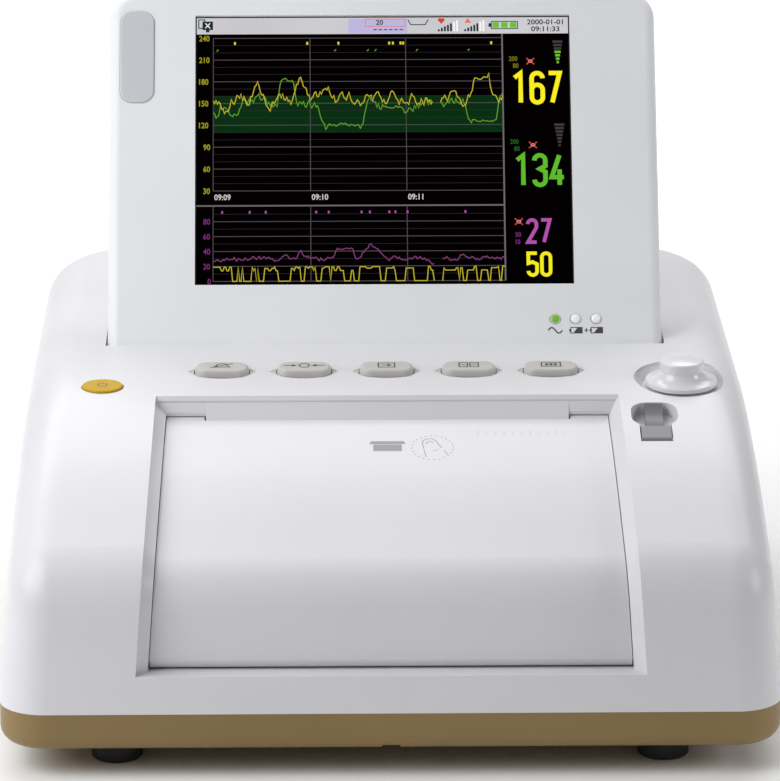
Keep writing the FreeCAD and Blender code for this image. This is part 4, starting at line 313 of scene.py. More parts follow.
class Drawing:
    """Faces on a plane that become one mesh."""

    def __init__(self):
        self.points = []
        self.faces = []

    def shape(self, points):
        first = len(self.points)
        self.points += points
        self.faces.append(range(first, len(self.points)))

    def box(self, left, low, right, high):
        self.shape([(left, low), (right, low), (right, high), (left, high)])

    def line(self, path, width, closed=False):
        """A stroke of even width along a path, mitred where it turns."""
        spots = [Vector(spot) for spot in path]
        count = len(spots)
        ways = [(spots[(i + 1) % count] - spots[i]).normalized() for i in range(count)]
        first = len(self.points)
        for i, spot in enumerate(spots):
            ahead = ways[i] if closed or i < count - 1 else ways[i - 1]
            behind = ways[i - 1] if closed or i > 0 else ahead
            middle = (ahead + behind).normalized()
            reach = width / 2 / max(middle.dot(ahead), MITRE_LIMIT)
            side = Vector((-middle.y, middle.x)) * reach
            self.points += [tuple(spot - side), tuple(spot + side)]
        for i in range(count if closed else count - 1):
            near, far = first + 2 * i, first + 2 * ((i + 1) % count)
            self.faces.append((near, far, far + 1, near + 1))

    def outline(self, left, low, right, high, width):
        self.line([(left, low), (right, low), (right, high), (left, high)], width, closed=True)

    def ring(self, x, y, radius, width):
        self.line(full_round(x, y, radius), width, closed=True)

    def disc(self, x, y, radius):
        self.shape(full_round(x, y, radius))

    def cross(self, x, y, half_x, half_y, width):
        self.line([(x - half_x, y - half_y), (x + half_x, y + half_y)], width)
        self.line([(x - half_x, y + half_y), (x + half_x, y - half_y)], width)

    def figures(self, words, x, y, height, stretch=1.0):
        """Small numbers in the built-in typeface, with their lower left corner at x and y."""
        curve = bpy.data.curves.new("figures", "FONT")
        curve.body = words
        curve.resolution_u = FIGURE_STEPS
        curve.offset = FIGURE_WEIGHT
        holder = bpy.data.objects.new("figures", curve)
        mesh = bpy.data.meshes.new_from_object(holder)
        tall = max(vertex.co.y for vertex in mesh.vertices)
        left = min(vertex.co.x for vertex in mesh.vertices)
        size = height / tall
        for face in mesh.polygons:
            points = [mesh.vertices[index].co for index in face.vertices]
            self.shape([(x + (p.x - left) * size * stretch, y + p.y * size) for p in points])
        bpy.data.objects.remove(holder)
        bpy.data.curves.remove(curve)
        bpy.data.meshes.remove(mesh)

    def mesh(self, name, place):
        """The drawing as a mesh, with each point put in place."""
        mesh = bpy.data.meshes.new(name)
        mesh.from_pydata([place(x * MM, y * MM) for x, y in self.points], [], [list(f) for f in self.faces])
        mesh.update()
        return mesh


def prism(name, foot, top, order=1):
    """A closed solid between two like outlines; an order of -1 turns its faces over."""
    count = len(foot)
    faces = [(i, (i + 1) % count, count + (i + 1) % count, count + i) for i in range(count)]
    faces += [tuple(range(count - 1, -1, -1)), tuple(range(count, 2 * count))]
    mesh = bpy.data.meshes.new(name)
    mesh.from_pydata(foot + top, [], [face[::order] for face in faces])
    return mesh


def add_piece(name, mesh, material, body):
    """Adds a mesh as a piece that rides on a body, under a material slot."""
    piece = bpy.data.objects.new(name, mesh)
    piece.data.materials.append(material)
    bpy.context.scene.collection.objects.link(piece)
    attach(piece, body)


# Display picture, in millimetres across and up from the lower left corner of the lit area
SCREEN_TILT = math.radians(31.4)
LCD_WIDTH = 170.4
LCD_HEIGHT = 127.8
LCD_BOTTOM = 30.8
GLASS_LEVEL = 3.0
LAYER = 0.03
# Layers of the picture, from the glass outwards
GROUND, PATCHES, FAINT, RULED, WRITTEN, TOPMOST = range(1, 7)
STATUS = 119.9
PLOT_LEFT = 7.6
PLOT_RIGHT = 140.0
RATE_BOTTOM = 44.5
RATE_TOP = 117.9
RATE_LOW, RATE_HIGH, RATE_STEP, RATE_LABEL = 30, 240, 10, 30
BAND_LOW, BAND_HIGH = 110, 160
SPLIT = 37.4
PRESSURE_BOTTOM = 1.6
PRESSURE_TOP = 29.9
PRESSURE_HIGH, PRESSURE_STEP, PRESSURE_LABEL = 80, 10, 20
MINUTES = ((PLOT_LEFT, "09:09"), (51.9, "09:10"), (95.7, "09:11"))

BLACK = shown(10, 5, 8)
STATUS_GREY = shown(205, 204, 208)
LAVENDER = shown(192, 184, 226)
BAND_GREEN = shown(18, 52, 26)
FRAME_GREY = shown(112, 106, 110)
GRID = shown(84, 79, 83)
FINE_GRID = shown(50, 46, 50)
YELLOW = shown(250, 238, 40)
MARK_YELLOW = shown(226, 214, 70)
TRACE_YELLOW = shown(196, 184, 52)
SCALE_YELLOW = shown(160, 156, 40)
GREEN = shown(96, 186, 48)
TRACE_GREEN = shown(98, 160, 52)
VIOLET = shown(178, 84, 170)
TRACE_VIOLET = shown(130, 66, 120)
SCALE_VIOLET = shown(120, 50, 116)
CLOCK_WHITE = shown(205, 203, 205)
ICON_DARK = shown(34, 50, 58)
ICON_WHITE = shown(246, 247, 250)
ICON_GREEN = shown(110, 190, 60)
ICON_RED = shown(216, 70, 58)
ICON_DIM = shown(66, 62, 64)
DIM_YELLOW = shown(120, 116, 30)
DIM_GREEN = shown(40, 96, 36)
NOTE_ORANGE = shown(226, 120, 90)

hinge = Vector(JOINTS["screen_tilt"]["pos_m"])
screen_up = Vector((0, math.sin(SCREEN_TILT), math.cos(SCREEN_TILT)))
screen_out = Vector((0, -math.cos(SCREEN_TILT), math.sin(SCREEN_TILT)))


def on_display(layer):
    """Puts the points of a drawing on a layer of the display."""
    origin = hinge + RIGHT * (-LCD_WIDTH / 2 * MM) + screen_up * (LCD_BOTTOM * MM)
    origin += screen_out * ((GLASS_LEVEL + LAYER * layer) * MM)
    return lambda x, y: origin + RIGHT * x + screen_up * y


def show(name, drawing, layer, colour):
    """Adds a drawing to the display as a lit piece."""
    name = "display_" + name
    add_piece(name, drawing.mesh(name, on_display(layer)), lit(name, colour), "screen")


def rate_height(rate):
    """How high on the display a heart rate is plotted."""
    return RATE_BOTTOM + (rate - RATE_LOW) / (RATE_HIGH - RATE_LOW) * (RATE_TOP - RATE_BOTTOM)


def pressure_height(pressure):
    """How high on the display a pressure is plotted."""
    return PRESSURE_BOTTOM + pressure / PRESSURE_HIGH * (PRESSURE_TOP - PRESSURE_BOTTOM)


def display_field():
    """The dark ground, the status bar with its note, and the band of usual rates."""
    field, bar, note, band = Drawing(), Drawing(), Drawing(), Drawing()
    note_left, note_right, margin = 69.6, 96.4, 0.5
    field.box(0, 0, LCD_WIDTH, STATUS)
    bar.box(0, STATUS, LCD_WIDTH, LCD_HEIGHT)
    note.box(note_left, STATUS + margin, note_right, LCD_HEIGHT - margin)
    band.box(PLOT_LEFT, rate_height(BAND_LOW), PLOT_RIGHT, rate_height(BAND_HIGH))
    show("field", field, GROUND, BLACK)
    show("status_bar", bar, GROUND, STATUS_GREY)
    show("status_note", note, PATCHES, LAVENDER)
    show("band", band, PATCHES, BAND_GREEN)


def display_grid():
    """The lines of both plots and the frames around them."""
    frames, major, minor = Drawing(), Drawing(), Drawing()
    thick, thin, rule = 0.34, 0.22, 0.7
    rows = [(rate_height(rate), rate % RATE_LABEL == 0)
            for rate in range(RATE_LOW, RATE_HIGH + 1, RATE_STEP)]
    rows += [(pressure_height(pressure), pressure % PRESSURE_LABEL == 0)
             for pressure in range(0, PRESSURE_HIGH + PRESSURE_STEP + 1, PRESSURE_STEP)]
    for y, labelled in rows:
        target, width = (major, thick) if labelled else (minor, thin)
        target.line([(PLOT_LEFT, y), (PLOT_RIGHT, y)], width)
    for x, _ in MINUTES:
        major.line([(x, RATE_BOTTOM), (x, RATE_TOP)], thick)
        major.line([(x, PRESSURE_BOTTOM), (x, SPLIT)], thick)
    frames.line([(0, SPLIT), (PLOT_RIGHT, SPLIT)], rule)
    frames.line([(PLOT_RIGHT, PRESSURE_BOTTOM), (PLOT_RIGHT, STATUS)], rule)
    show("grid_frames", frames, RULED, FRAME_GREY)
    show("grid", major, RULED, GRID)
    show("grid_fine", minor, FAINT, FINE_GRID)


# Each swell of a trace: where along the plot, how far to either side, how high, and whether it is flat
FIRST_SWELLS = ((0.04, 0.02, -12, False), (0.155, 0.03, 26, False), (0.195, 0.025, -14, False),
                (0.30, 0.025, 28, False), (0.39, 0.03, 26, False), (0.62, 0.025, 25, False),
                (0.93, 0.035, 28, True), (0.98, 0.02, -6, False))
SECOND_SWELLS = ((0.01, 0.03, -26, False), (0.07, 0.03, -14, False), (0.255, 0.035, 30, True),
                 (0.45, 0.09, -32, True), (0.62, 0.06, -8, True), (0.70, 0.05, -10, False),
                 (0.93, 0.06, -26, True))
PRESSURE_SWELLS = ((0.30, 0.02, 10, False), (0.45, 0.04, 13, True), (0.54, 0.05, 21, False),
                   (0.75, 0.03, -6, False), (0.85, 0.02, 6, False))
MOVEMENT_LEVELS = (19, 0, 17, 14, 0, 19)
TRACE_STEPS = 210
TRACE_GAP = (0.757, 0.782)
TRACE_WIDTH = 0.42
FLANK_STEEPNESS = 3
DRIFT_KEPT = 0.6
HELD_SHARE = 0.6
HELD_DRIFT = 0.25


def swell(t, place, half, height, flat):
    """How far one swell lifts a reading at a share of the plot's length."""
    near = max(0.0, 1 - abs(t - place) / half)
    return height * (min(1.0, near * FLANK_STEEPNESS) if flat else near)


def wandering(seed, base, jitter, swells):
    """A reading that jitters about its base and rises or falls in swells."""
    dice = random.Random(seed)
    values, drift = [], 0.0
    for i in range(TRACE_STEPS):
        t = i / (TRACE_STEPS - 1)
        drift = drift * DRIFT_KEPT + dice.uniform(-jitter, jitter)
        rise = sum(swell(t, *shape) for shape in swells)
        held = any(flat and abs(t - place) < half * HELD_SHARE for place, half, _, flat in swells)
        values.append(base + rise + drift * (HELD_DRIFT if held else 1.0))
    return values


def trace(drawing, values, height):
    """Draws a reading in two runs, with a gap where nothing was measured."""
    runs = ([], [])
    for i, value in enumerate(values):
        t = i / (len(values) - 1)
        spot = (PLOT_LEFT + (PLOT_RIGHT - PLOT_LEFT) * t, height(value))
        if t < TRACE_GAP[0]:
            runs[0].append(spot)
        elif t > TRACE_GAP[1]:
            runs[1].append(spot)
    for run in runs:
        drawing.line(run, TRACE_WIDTH)


def stepping(seed, levels, change):
    """A reading that jumps between a few levels."""
    dice = random.Random(seed)
    values, level = [], levels[0]
    for _ in range(TRACE_STEPS):
        level = dice.choice(levels) if dice.random() < change else level
        values.append(level)
    return values


def display_traces():
    """Two heart rates, the pressure and the movement."""
    first, second, pressure, movement = Drawing(), Drawing(), Drawing(), Drawing()
    trace(second, wandering(seed=19, base=152, jitter=7, swells=SECOND_SWELLS), rate_height)
    trace(first, wandering(seed=7, base=156, jitter=7, swells=FIRST_SWELLS), rate_height)
    trace(pressure, wandering(seed=31, base=30, jitter=2.6, swells=PRESSURE_SWELLS), pressure_height)
    trace(movement, stepping(seed=5, levels=MOVEMENT_LEVELS, change=0.45), pressure_height)
    show("trace_second", second, WRITTEN, TRACE_GREEN)
    show("trace_first", first, TOPMOST, TRACE_YELLOW)
    show("trace_pressure", pressure, WRITTEN, TRACE_VIOLET)
    show("trace_movement", movement, TOPMOST, TRACE_YELLOW)


FIRST_MARKS = (17.5, 50.6, 64.9, 88.2, 89.9, 93.4, 94.6, 135.0)
SECOND_MARKS = (9.5, 63.4, 78.4, 81.9, 100.9, 124.6)
PRESSURE_MARKS = (11.7, 24.2, 31.5, 54.4, 60.1, 75.0, 78.8, 87.6, 90.4, 95.9, 122.2)


def display_marks():
    """Rows of small event marks above the traces."""
    first, second, pressure = Drawing(), Drawing(), Drawing()
    row_first, row_second, row_pressure = 115.4, 112.0, 34.3
    half, half_first, half_pressure = 0.42, 0.672, 0.588
    for x in FIRST_MARKS:
        first.box(x - half, row_first - half_first, x + half, row_first + half_first)
    for x in SECOND_MARKS:
        second.line([(x - half, row_second - half), (x + half, row_second + half)], half)
    for x in PRESSURE_MARKS:
        pressure.box(x - half, row_pressure - half_pressure, x + half, row_pressure + half_pressure)
    show("marks_first", first, WRITTEN, MARK_YELLOW)
    show("marks_second", second, WRITTEN, TRACE_GREEN)
    show("marks_pressure", pressure, WRITTEN, VIOLET)


def display_scales():
    """The numbers left of the plots, and the times under the upper one."""
    rates, pressures, clock = Drawing(), Drawing(), Drawing()
    tall, wide, gap, clock_drop = 2.7, 2.0, 0.5, 4.32
    scale_stretch, clock_stretch = 0.85, 0.9

    def beside_plot(drawing, number, height):
        words = str(number)
        drawing.figures(words, PLOT_LEFT - gap - wide * len(words), height - tall / 2, tall, scale_stretch)

    for rate in range(RATE_LOW, RATE_HIGH + 1, RATE_LABEL):
        beside_plot(rates, rate, rate_height(rate))
    for pressure in range(0, PRESSURE_HIGH + 1, PRESSURE_LABEL):
        beside_plot(pressures, pressure, pressure_height(pressure))
    for x, words in MINUTES:
        clock.figures(words, x + gap, RATE_BOTTOM - clock_drop, tall, clock_stretch)
    show("scale_rates", rates, WRITTEN, SCALE_YELLOW)
    show("scale_pressures", pressures, WRITTEN, SCALE_VIOLET)
    show("scale_clock", clock, WRITTEN, CLOCK_WHITE)


def numeral(digit, wide, tall):
    """The strokes of a large narrow digit, in shares of its size: each is a path and whether it closes."""
    half = wide / 2
    crown = arc(half, tall - half, half, 180, 0)
    bowl = arc(half, half, half, 0, -180)
    waist = tall * 0.54
    loops = {
        "0": [(crown + bowl, True)],
        "1": [([(0, tall * 0.84), (half * 1.1, tall), (half * 1.1, 0)], False)],
        "2": [(crown + [(wide, tall * 0.66), (0, 0), (wide, 0)], False)],
        "3": [(crown + [(wide, tall * 0.64), (half, waist), (wide, tall * 0.44)] + bowl, False)],
        "4": [([(wide * 0.72, tall), (0, tall * 0.26), (wide * 1.1, tall * 0.26)], False),
              ([(wide * 0.72, tall * 0.52), (wide * 0.72, 0)], False)],
        "5": [([(wide, tall), (0, tall), (0, waist), (half, tall * 0.6), (wide, tall * 0.5)] + bowl,
               False)],
        "6": [(arc(half, tall * 0.6 - half, half, 180, 0) + bowl, True),
              ([(0, tall * 0.4)] + crown, False)],
        "7": [([(0, tall), (wide, tall), (wide * 0.3, 0)], False)],
    }
    return loops[digit]


# Each reading: its digits, the lower left corner, the height, the width of a digit and the colour
READINGS = (("167", 144.4, 85.4, 16.3, 5.0, YELLOW), ("134", 145.0, 45.8, 16.3, 5.0, GREEN),
            ("27", 149.6, 18.8, 12.2, 3.9, VIOLET), ("50", 149.6, 3.2, 12.0, 3.9, YELLOW))
STROKE_SHARE = 0.42
DIGIT_GAP = 1.35


def display_readings():
    """The large numbers on the right."""
    for words, left, low, tall, wide, colour in READINGS:
        reading = Drawing()
        stroke = wide * STROKE_SHARE
        for i, digit in enumerate(words):
            x = left + stroke / 2 + i * (wide + stroke * DIGIT_GAP)
            for path, closed in numeral(digit, wide, tall - stroke):
                reading.line([(x + px, low + stroke / 2 + py) for px, py in path], stroke, closed)
        show("reading_" + words, reading, WRITTEN, colour)


# Alarm limits beside the readings: the height of the upper number, the two numbers and the colour
LIMITS = (("first", 106.6, ("200", "80"), DIM_YELLOW), ("second", 66.6, ("200", "80"), DIM_GREEN),
          ("third", 22.2, ("50", "10"), SCALE_VIOLET))


def display_limits():
    """The small alarm limits beside the readings."""
    tall, stretch, column, step = 2.2, 0.85, 143.0, 3.4
    longest, indent = 3, 1.8
    for name, top, numbers, colour in LIMITS:
        limits = Drawing()
        for i, number in enumerate(numbers):
            x = column + (longest - len(number)) * indent
            limits.figures(number, x, top - i * step, tall, stretch)
        show("limits_" + name, limits, WRITTEN, colour)


# Icons of the display, whose heights are slightly squeezed in the status bar
SQUEEZE = 0.82
ICON_STROKE = 0.45
ICON_FIGURES = 2.4
SIGNAL_LOW = 1.4
SIGNAL_LEFTS = (110.6, 122.7)
HEART_X, HEART_HEIGHT = 112.2, 7.6
TRIANGLE = ((122.8, 6.4), (126.0, 6.4), (124.4, 9.2))
TRAY = ((96.8, 8.4), (98.2, 5.4), (104.8, 5.4), (106.2, 8.4))
# Each number in the status bar: its left edge, its height there and its stretch
STATUS_FIGURES = (("2000-01-01", 151.6, 5.4, 1.1), ("09:11:33", 153.4, 1.3, 1.15))
# Each gauge: how many bars are lit, its middle and its foot
GAUGES = ((4, 165.4, 105.4), (0, 165.6, 65.3))
MUTED_PLACES = ((152.8, 106.4), (153.4, 66.0), (146.4, 29.4))
ICON_INKS = {"dark": (FAINT, ICON_DARK), "white": (RULED, ICON_WHITE), "green": (RULED, ICON_GREEN),
             "red": (WRITTEN, ICON_RED), "dim": (RULED, ICON_DIM), "note": (RULED, NOTE_ORANGE)}


def above_status(height):
    """A height above the foot of the status bar."""
    return STATUS + height * SQUEEZE


def in_status(spots):
    """The points of an icon in the status bar."""
    return [(x, above_status(height)) for x, height in spots]


def signal_bars(dark, white, left, low):
    """Rising bars, the last two of them unlit."""
    bars, lit_bars, pitch, wide, first, rise = 7, 5, 1.4, 0.9, 1.0, 0.72
    for i in range(bars):
        x = left + i * pitch
        target = dark if i < lit_bars else white
        target.box(x, low, x + wide, low + first + i * rise)


def quality_gauge(green, dim, lit_bars, x, low):
    """A column of bars that widen upwards."""
    bars, pitch, tall, first, widening = 7, 1.65, 1.1, 0.5, 0.3
    for i in range(bars):
        half = first + i * widening
        y = low + i * pitch
        target = green if i < lit_bars else dim
        target.box(x - half, y, x + half, y + tall)


def battery_icon(dark, green):
    left, right, low, high = 135.2, 147.2, above_status(2.9), above_status(7.2)
    stroke, pole_far, pole_near, pole_inset = 0.4, 1.3, 0.2, 0.9
    cells, first, pitch, wide, inset = 3, 0.5, 4.0, 3.0, 0.4
    dark.outline(left, low, right, high, stroke)
    dark.box(left - pole_far, low + pole_inset, left - pole_near, high - pole_inset)
    for i in range(cells):
        start = left + first + i * pitch
        green.box(start, low + inset, start + wide, high - inset)


def bed_icon(dark, white):
    """A small sheet behind a square on a foot, with a cross on the square."""
    cross_x, cross_y, cross_wide, cross_tall = 5.0, above_status(5.1), 1.1, 1.2
    dark.outline(0.9, above_status(3.6), 3.6, above_status(8.6), ICON_STROKE)
    dark.box(2.6, above_status(2.6), 7.4, above_status(7.6))
    dark.box(4.2, above_status(1.2), 5.8, above_status(2.6))
    white.cross(cross_x, cross_y, cross_wide, cross_tall, ICON_STROKE)


def heart_icon(red, x, y):
    lobe, lobe_side, lobe_rise = 0.85, 0.7, 0.5
    half, shoulder, tip = 1.45, 0.15, 1.5
    for side in (-1, 1):
        red.disc(x + side * lobe_side, y + lobe_rise, lobe)
    red.shape([(x - half, y + shoulder), (x, y - tip), (x + half, y + shoulder)])


def paper_note(dark, note):
    """A framed number over a row of dashes."""
    left, right, low, margin, stroke = 77.4, 95.6, 4.4, 0.7, 0.3
    number_left, number_low = 82.2, 5.4
    dashes, first, pitch, wide, dash_low, dash_high = 6, 81.0, 2.4, 1.6, 2.2, 2.8
    note.outline(left, above_status(low), right, LCD_HEIGHT - margin, stroke)
    dark.figures("20", number_left, above_status(number_low), ICON_FIGURES)
    for i in range(dashes):
        x = first + i * pitch
        dark.box(x, above_status(dash_low), x + wide, above_status(dash_high))


def muted_icon(red, white, x, y):
    """A small window under a red cross."""
    cross_wide, cross_tall, cross_stroke = 1.8, 1.5, 0.55
    wide, tall, stroke = 0.8, 0.6, 0.2
    red.cross(x, y, cross_wide, cross_tall, cross_stroke)
    white.outline(x - wide, y - tall, x + wide, y + tall, stroke)


def display_icons():
    """The small signs of the status bar and beside the readings."""
    inks = {name: Drawing() for name in ICON_INKS}
    dark, white, green, red, dim, note = inks.values()
    for left in SIGNAL_LEFTS:
        signal_bars(dark, white, left, above_status(SIGNAL_LOW))
    heart_icon(red, HEART_X, above_status(HEART_HEIGHT))
    note.shape(in_status(TRIANGLE))
    battery_icon(dark, green)
    bed_icon(dark, white)
    dark.line(in_status(TRAY), ICON_STROKE)
    paper_note(dark, note)
    for words, left, low, stretch in STATUS_FIGURES:
        dark.figures(words, left, above_status(low), ICON_FIGURES, stretch)
    for lit_bars, x, low in GAUGES:
        quality_gauge(green, dim, lit_bars, x, low)
    for x, y in MUTED_PLACES:
        muted_icon(red, white, x, y)
    for name, (layer, colour) in ICON_INKS.items():
        show("icons_" + name, inks[name], layer, colour)


display_field()
display_grid()
display_traces()
display_marks()
display_scales()
display_readings()
display_limits()
display_icons()


# Printed symbols, laid onto a solid by casting each point onto its surface
PRINT_LIFT = 0.05 * MM
CAST_START = 30 * MM
STROKE = 0.4
FINE_STROKE = 0.32
KEY_STROKE = 0.62
ink_dark = moulded("ink_dark", (0.06, 0.06, 0.065), 0.5, 900.0, 0.01, mottle=0.1)
ink_grey = moulded("ink_grey", (0.30, 0.31, 0.33), 0.5, 900.0, 0.01, mottle=0.08)
ink_faint = moulded("ink_faint", (0.62, 0.62, 0.64), 0.4, 900.0, 0.01, mottle=0.05)


def laid_on(node, origin, across, up):
    """Finds the point of a solid that lies under a point of the drawing."""
    facing = across.cross(up).normalized()

    def place(x, y):
        start = origin + across * x + up * y
        hit, point, _, _ = NODES[node].ray_cast(start + facing * CAST_START, -facing)
        return (point if hit else start) + facing * PRINT_LIFT

    return place


def imprint(name, drawing, node, body, origin, across, up, ink):
    """Prints a drawing on a solid."""
    add_piece(name, drawing.mesh(name, laid_on(node, origin, across, up)), ink, body)


def centre_of(node):
    """The middle of the box around a node."""
    low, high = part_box(node)
    return (Vector(low) + Vector(high)) / 2


def press_plane(joint):
    """The two directions that lie in the face of a key that is pressed along a joint's axis."""
    down = Vector(JOINTS[joint]["axis"])
    return RIGHT, (-down).cross(RIGHT)


def bell_off(drawing):
    """A bell with a line across it."""
    foot, low, dome = 3.6, -1.6, 2.4
    slash = [(-5.0, -2.2), (5.0, 2.6)]
    drawing.line([(-foot, low)] + arc(0, 0, dome, 180, 0) + [(foot, low)], KEY_STROKE, closed=True)
    drawing.line(slash, KEY_STROKE)


def zero_between_arrows(drawing):
    radius, tail, neck, barb, tip, half = 2.2, 9.0, 5.0, 5.4, 3.2, 1.4
    drawing.ring(0, 0, radius, KEY_STROKE)
    for side in (-1, 1):
        drawing.line([(side * tail, 0), (side * neck, 0)], KEY_STROKE)
        drawing.shape([(side * tip, 0), (side * barb, half), (side * barb, -half)][::side])


def boxed_arrow(drawing):
    wide, tall, tail, neck, tip, half = 3.6, 2.4, -2.2, 0.4, 2.4, 1.5
    drawing.outline(-wide, -tall, wide, tall, KEY_STROKE)
    drawing.line([(tail, 0), (neck, 0)], KEY_STROKE)
    drawing.shape([(tip, 0), (neck, half), (neck, -half)])


def paired_boxes(drawing):
    middle, wide, tall, dash = 2.4, 1.8, 2.3, 0.8
    for side in (-1, 1):
        x = side * middle
        drawing.outline(x - wide, -tall, x + wide, tall, KEY_STROKE)
        drawing.line([(x - dash, 0), (x + dash, 0)], KEY_STROKE)


def start_page(drawing):
    """Three bars in a frame."""
    wide, tall, bars, bar_wide, bar_tall = 4.2, 2.2, (-2.6, -0.7, 1.2), 1.4, 1.2
    drawing.outline(-wide, -tall, wide, tall, KEY_STROKE)
    for x in bars:
        drawing.box(x, -bar_tall, x + bar_wide, bar_tall)


KEY_DRAWINGS = (bell_off, zero_between_arrows, boxed_arrow, paired_boxes, start_page)


def key_symbols():
    for number, draw in enumerate(KEY_DRAWINGS, 1):
        node = f"function_key_{number}"
        symbol = Drawing()
        draw(symbol)
        across, up = press_plane(f"key_{number}_press")
        imprint(f"key_symbol_{number}", symbol, node, f"key_{number}", centre_of(node), across, up,
                ink_dark)


# Wedges that fill the pointed tips of the lens-shaped dish around each function key, in millimetres
KEY_RISE = 2.8
TOP_TOUCH = 0.05
DISH_HALF_LENGTH = 14.9
DISH_HALF_DEPTH = 7.65
HOLE_CORNER = (6.8, 0.8)
HOLE_RADIUS = 5.6
WEDGE_TURN = 27.5
WEDGE_TURN_STEPS = 4
WEDGE_START = 11.77
WEDGE_STEPS = 6
WEDGE_TOP, WEDGE_FOOT = -0.2, -1.25


def dish_half(x):
    """Half the width of the dish at a distance from its middle, where two arcs meet in points."""
    radius = (DISH_HALF_LENGTH ** 2 + DISH_HALF_DEPTH ** 2) / (2 * DISH_HALF_DEPTH)
    return math.sqrt(radius ** 2 - x ** 2) - (radius - DISH_HALF_DEPTH)


def cap_middle(node, facing):
    """The middle of a key's flat top."""
    spots = [vertex.co for vertex in NODES[node].data.vertices]
    highest = max(spot.dot(facing) for spot in spots)
    top = [spot for spot in spots if spot.dot(facing) > highest - TOP_TOUCH * MM]
    return sum(top, Vector()) / len(top)


def key_wedge(name, number, side):
    """One tip of a dish: from the round end of the key's hole to the point where the arcs meet."""
    across, up = press_plane(f"key_{number}_press")
    facing = across.cross(up)
    deck = cap_middle(f"function_key_{number}", facing) - facing * (KEY_RISE * MM)
    steps = [WEDGE_START + (DISH_HALF_LENGTH - WEDGE_START) * i / WEDGE_STEPS for i in range(WEDGE_STEPS)]
    beside_key = arc(*HOLE_CORNER, HOLE_RADIUS, 0, WEDGE_TURN, WEDGE_TURN_STEPS)[:-1]
    behind = beside_key + [(x, dish_half(x)) for x in steps]
    edge = behind + [(DISH_HALF_LENGTH, 0)] + [(x, -y) for x, y in reversed(behind)]
    foot, top = [[deck + (across * (side * x) + up * y + facing * level) * MM for x, y in edge]
                 for level in (WEDGE_FOOT, WEDGE_TOP)]
    return prism(name, foot, top, -side)


def key_wedges():
    """The two tips of each function key's dish."""
    grey = moulded("wedge_grey", (0.53, 0.52, 0.51), 0.42, 1400.0, 0.05, mottle=0.02)
    for number in range(1, len(KEY_DRAWINGS) + 1):
        for word, side in (("left", -1), ("right", 1)):
            name = f"key_wedge_{number}_{word}"
            add_piece(name, key_wedge(name, number, side), grey, "base")


def power_symbol():
    """An open ring with a bar in its gap."""
    symbol = Drawing()
    radius, start, end, steps = 1.9, 120, 420, 20
    bar_low, bar_high = 0.6, 2.4
    symbol.line(arc(0, 0, radius, start, end, steps), STROKE)
    symbol.line([(0, bar_low), (0, bar_high)], STROKE)
    across, up = press_plane("power_press")
    imprint("power_symbol", symbol, "power_key", "power_button", centre_of("power_key"), across, up,
            ink_dark)


# Indicators under the display, in millimetres along it and above its hinge
INDICATOR_FIRST = 76.8
INDICATOR_PITCH = 9.2
INDICATOR_HEIGHT = 13.6
INDICATOR_FACE = 5.3
INDICATOR_RADIUS = 2.0
INDICATOR_BULGE = 0.55
INDICATOR_RINGS = 5
INDICATOR_STEPS = 24
LENS_WHITE = (0.85, 0.86, 0.87)
# Each indicator: its name, its colour and how strongly it glows
INDICATORS = (("indicator_mains", shown(112, 172, 58), 0.3), ("indicator_battery", LENS_WHITE, 0.15),
              ("indicator_charge", LENS_WHITE, 0.15))


def battery_mark(marks, x, y, stroke):
    """A battery that is partly full."""
    left, right, half, pole, pole_half = 2.2, 2.9, 1.3, 2.9, 0.6
    fill_low, fill_high, fill_right, fill_half = -0.9, 0.7, 2.7, 1.1
    marks.outline(x - left, y - half, x + right, y + half, stroke)
    marks.box(x - pole, y - pole_half, x - left, y + pole_half)
    marks.shape([(x + fill_low, y - fill_half), (x + fill_right, y - fill_half),
                 (x + fill_right, y + fill_half), (x + fill_high, y + fill_half)])


def indicator_symbols():
    """Small marks under the three indicators: mains, battery and charging."""
    marks = Drawing()
    drop, bold, thin = 5.4, 0.6, 0.4
    wave_half, wave_rise, wave_steps = 3.2, 1.3, 20
    plug_shift, plug_wide, plug_tall = 4.4, 0.9, 1.0
    mains, battery, charge = [INDICATOR_FIRST + INDICATOR_PITCH * i for i in range(len(INDICATORS))]
    y = INDICATOR_HEIGHT - drop
    wave = [(mains - wave_half + i * 2 * wave_half / wave_steps,
             y + wave_rise * math.sin(i / wave_steps * math.tau)) for i in range(wave_steps + 1)]
    marks.line(wave, bold)
    for x in (battery, charge):
        battery_mark(marks, x, y, thin)
    plug = charge - plug_shift
    marks.line([(plug - plug_wide, y), (plug + plug_wide, y)], thin)
    marks.line([(plug, y - plug_tall), (plug, y + plug_tall)], thin)
    imprint("indicator_marks", marks, "screen_bezel", "screen", hinge, RIGHT, screen_up,
            ink_dark)


def indicator_point(x, radius, turn, rise):
    across = x + radius * math.cos(turn)
    above = INDICATOR_HEIGHT + radius * math.sin(turn)
    return hinge + (RIGHT * across + screen_up * above + screen_out * (INDICATOR_FACE + rise)) * MM


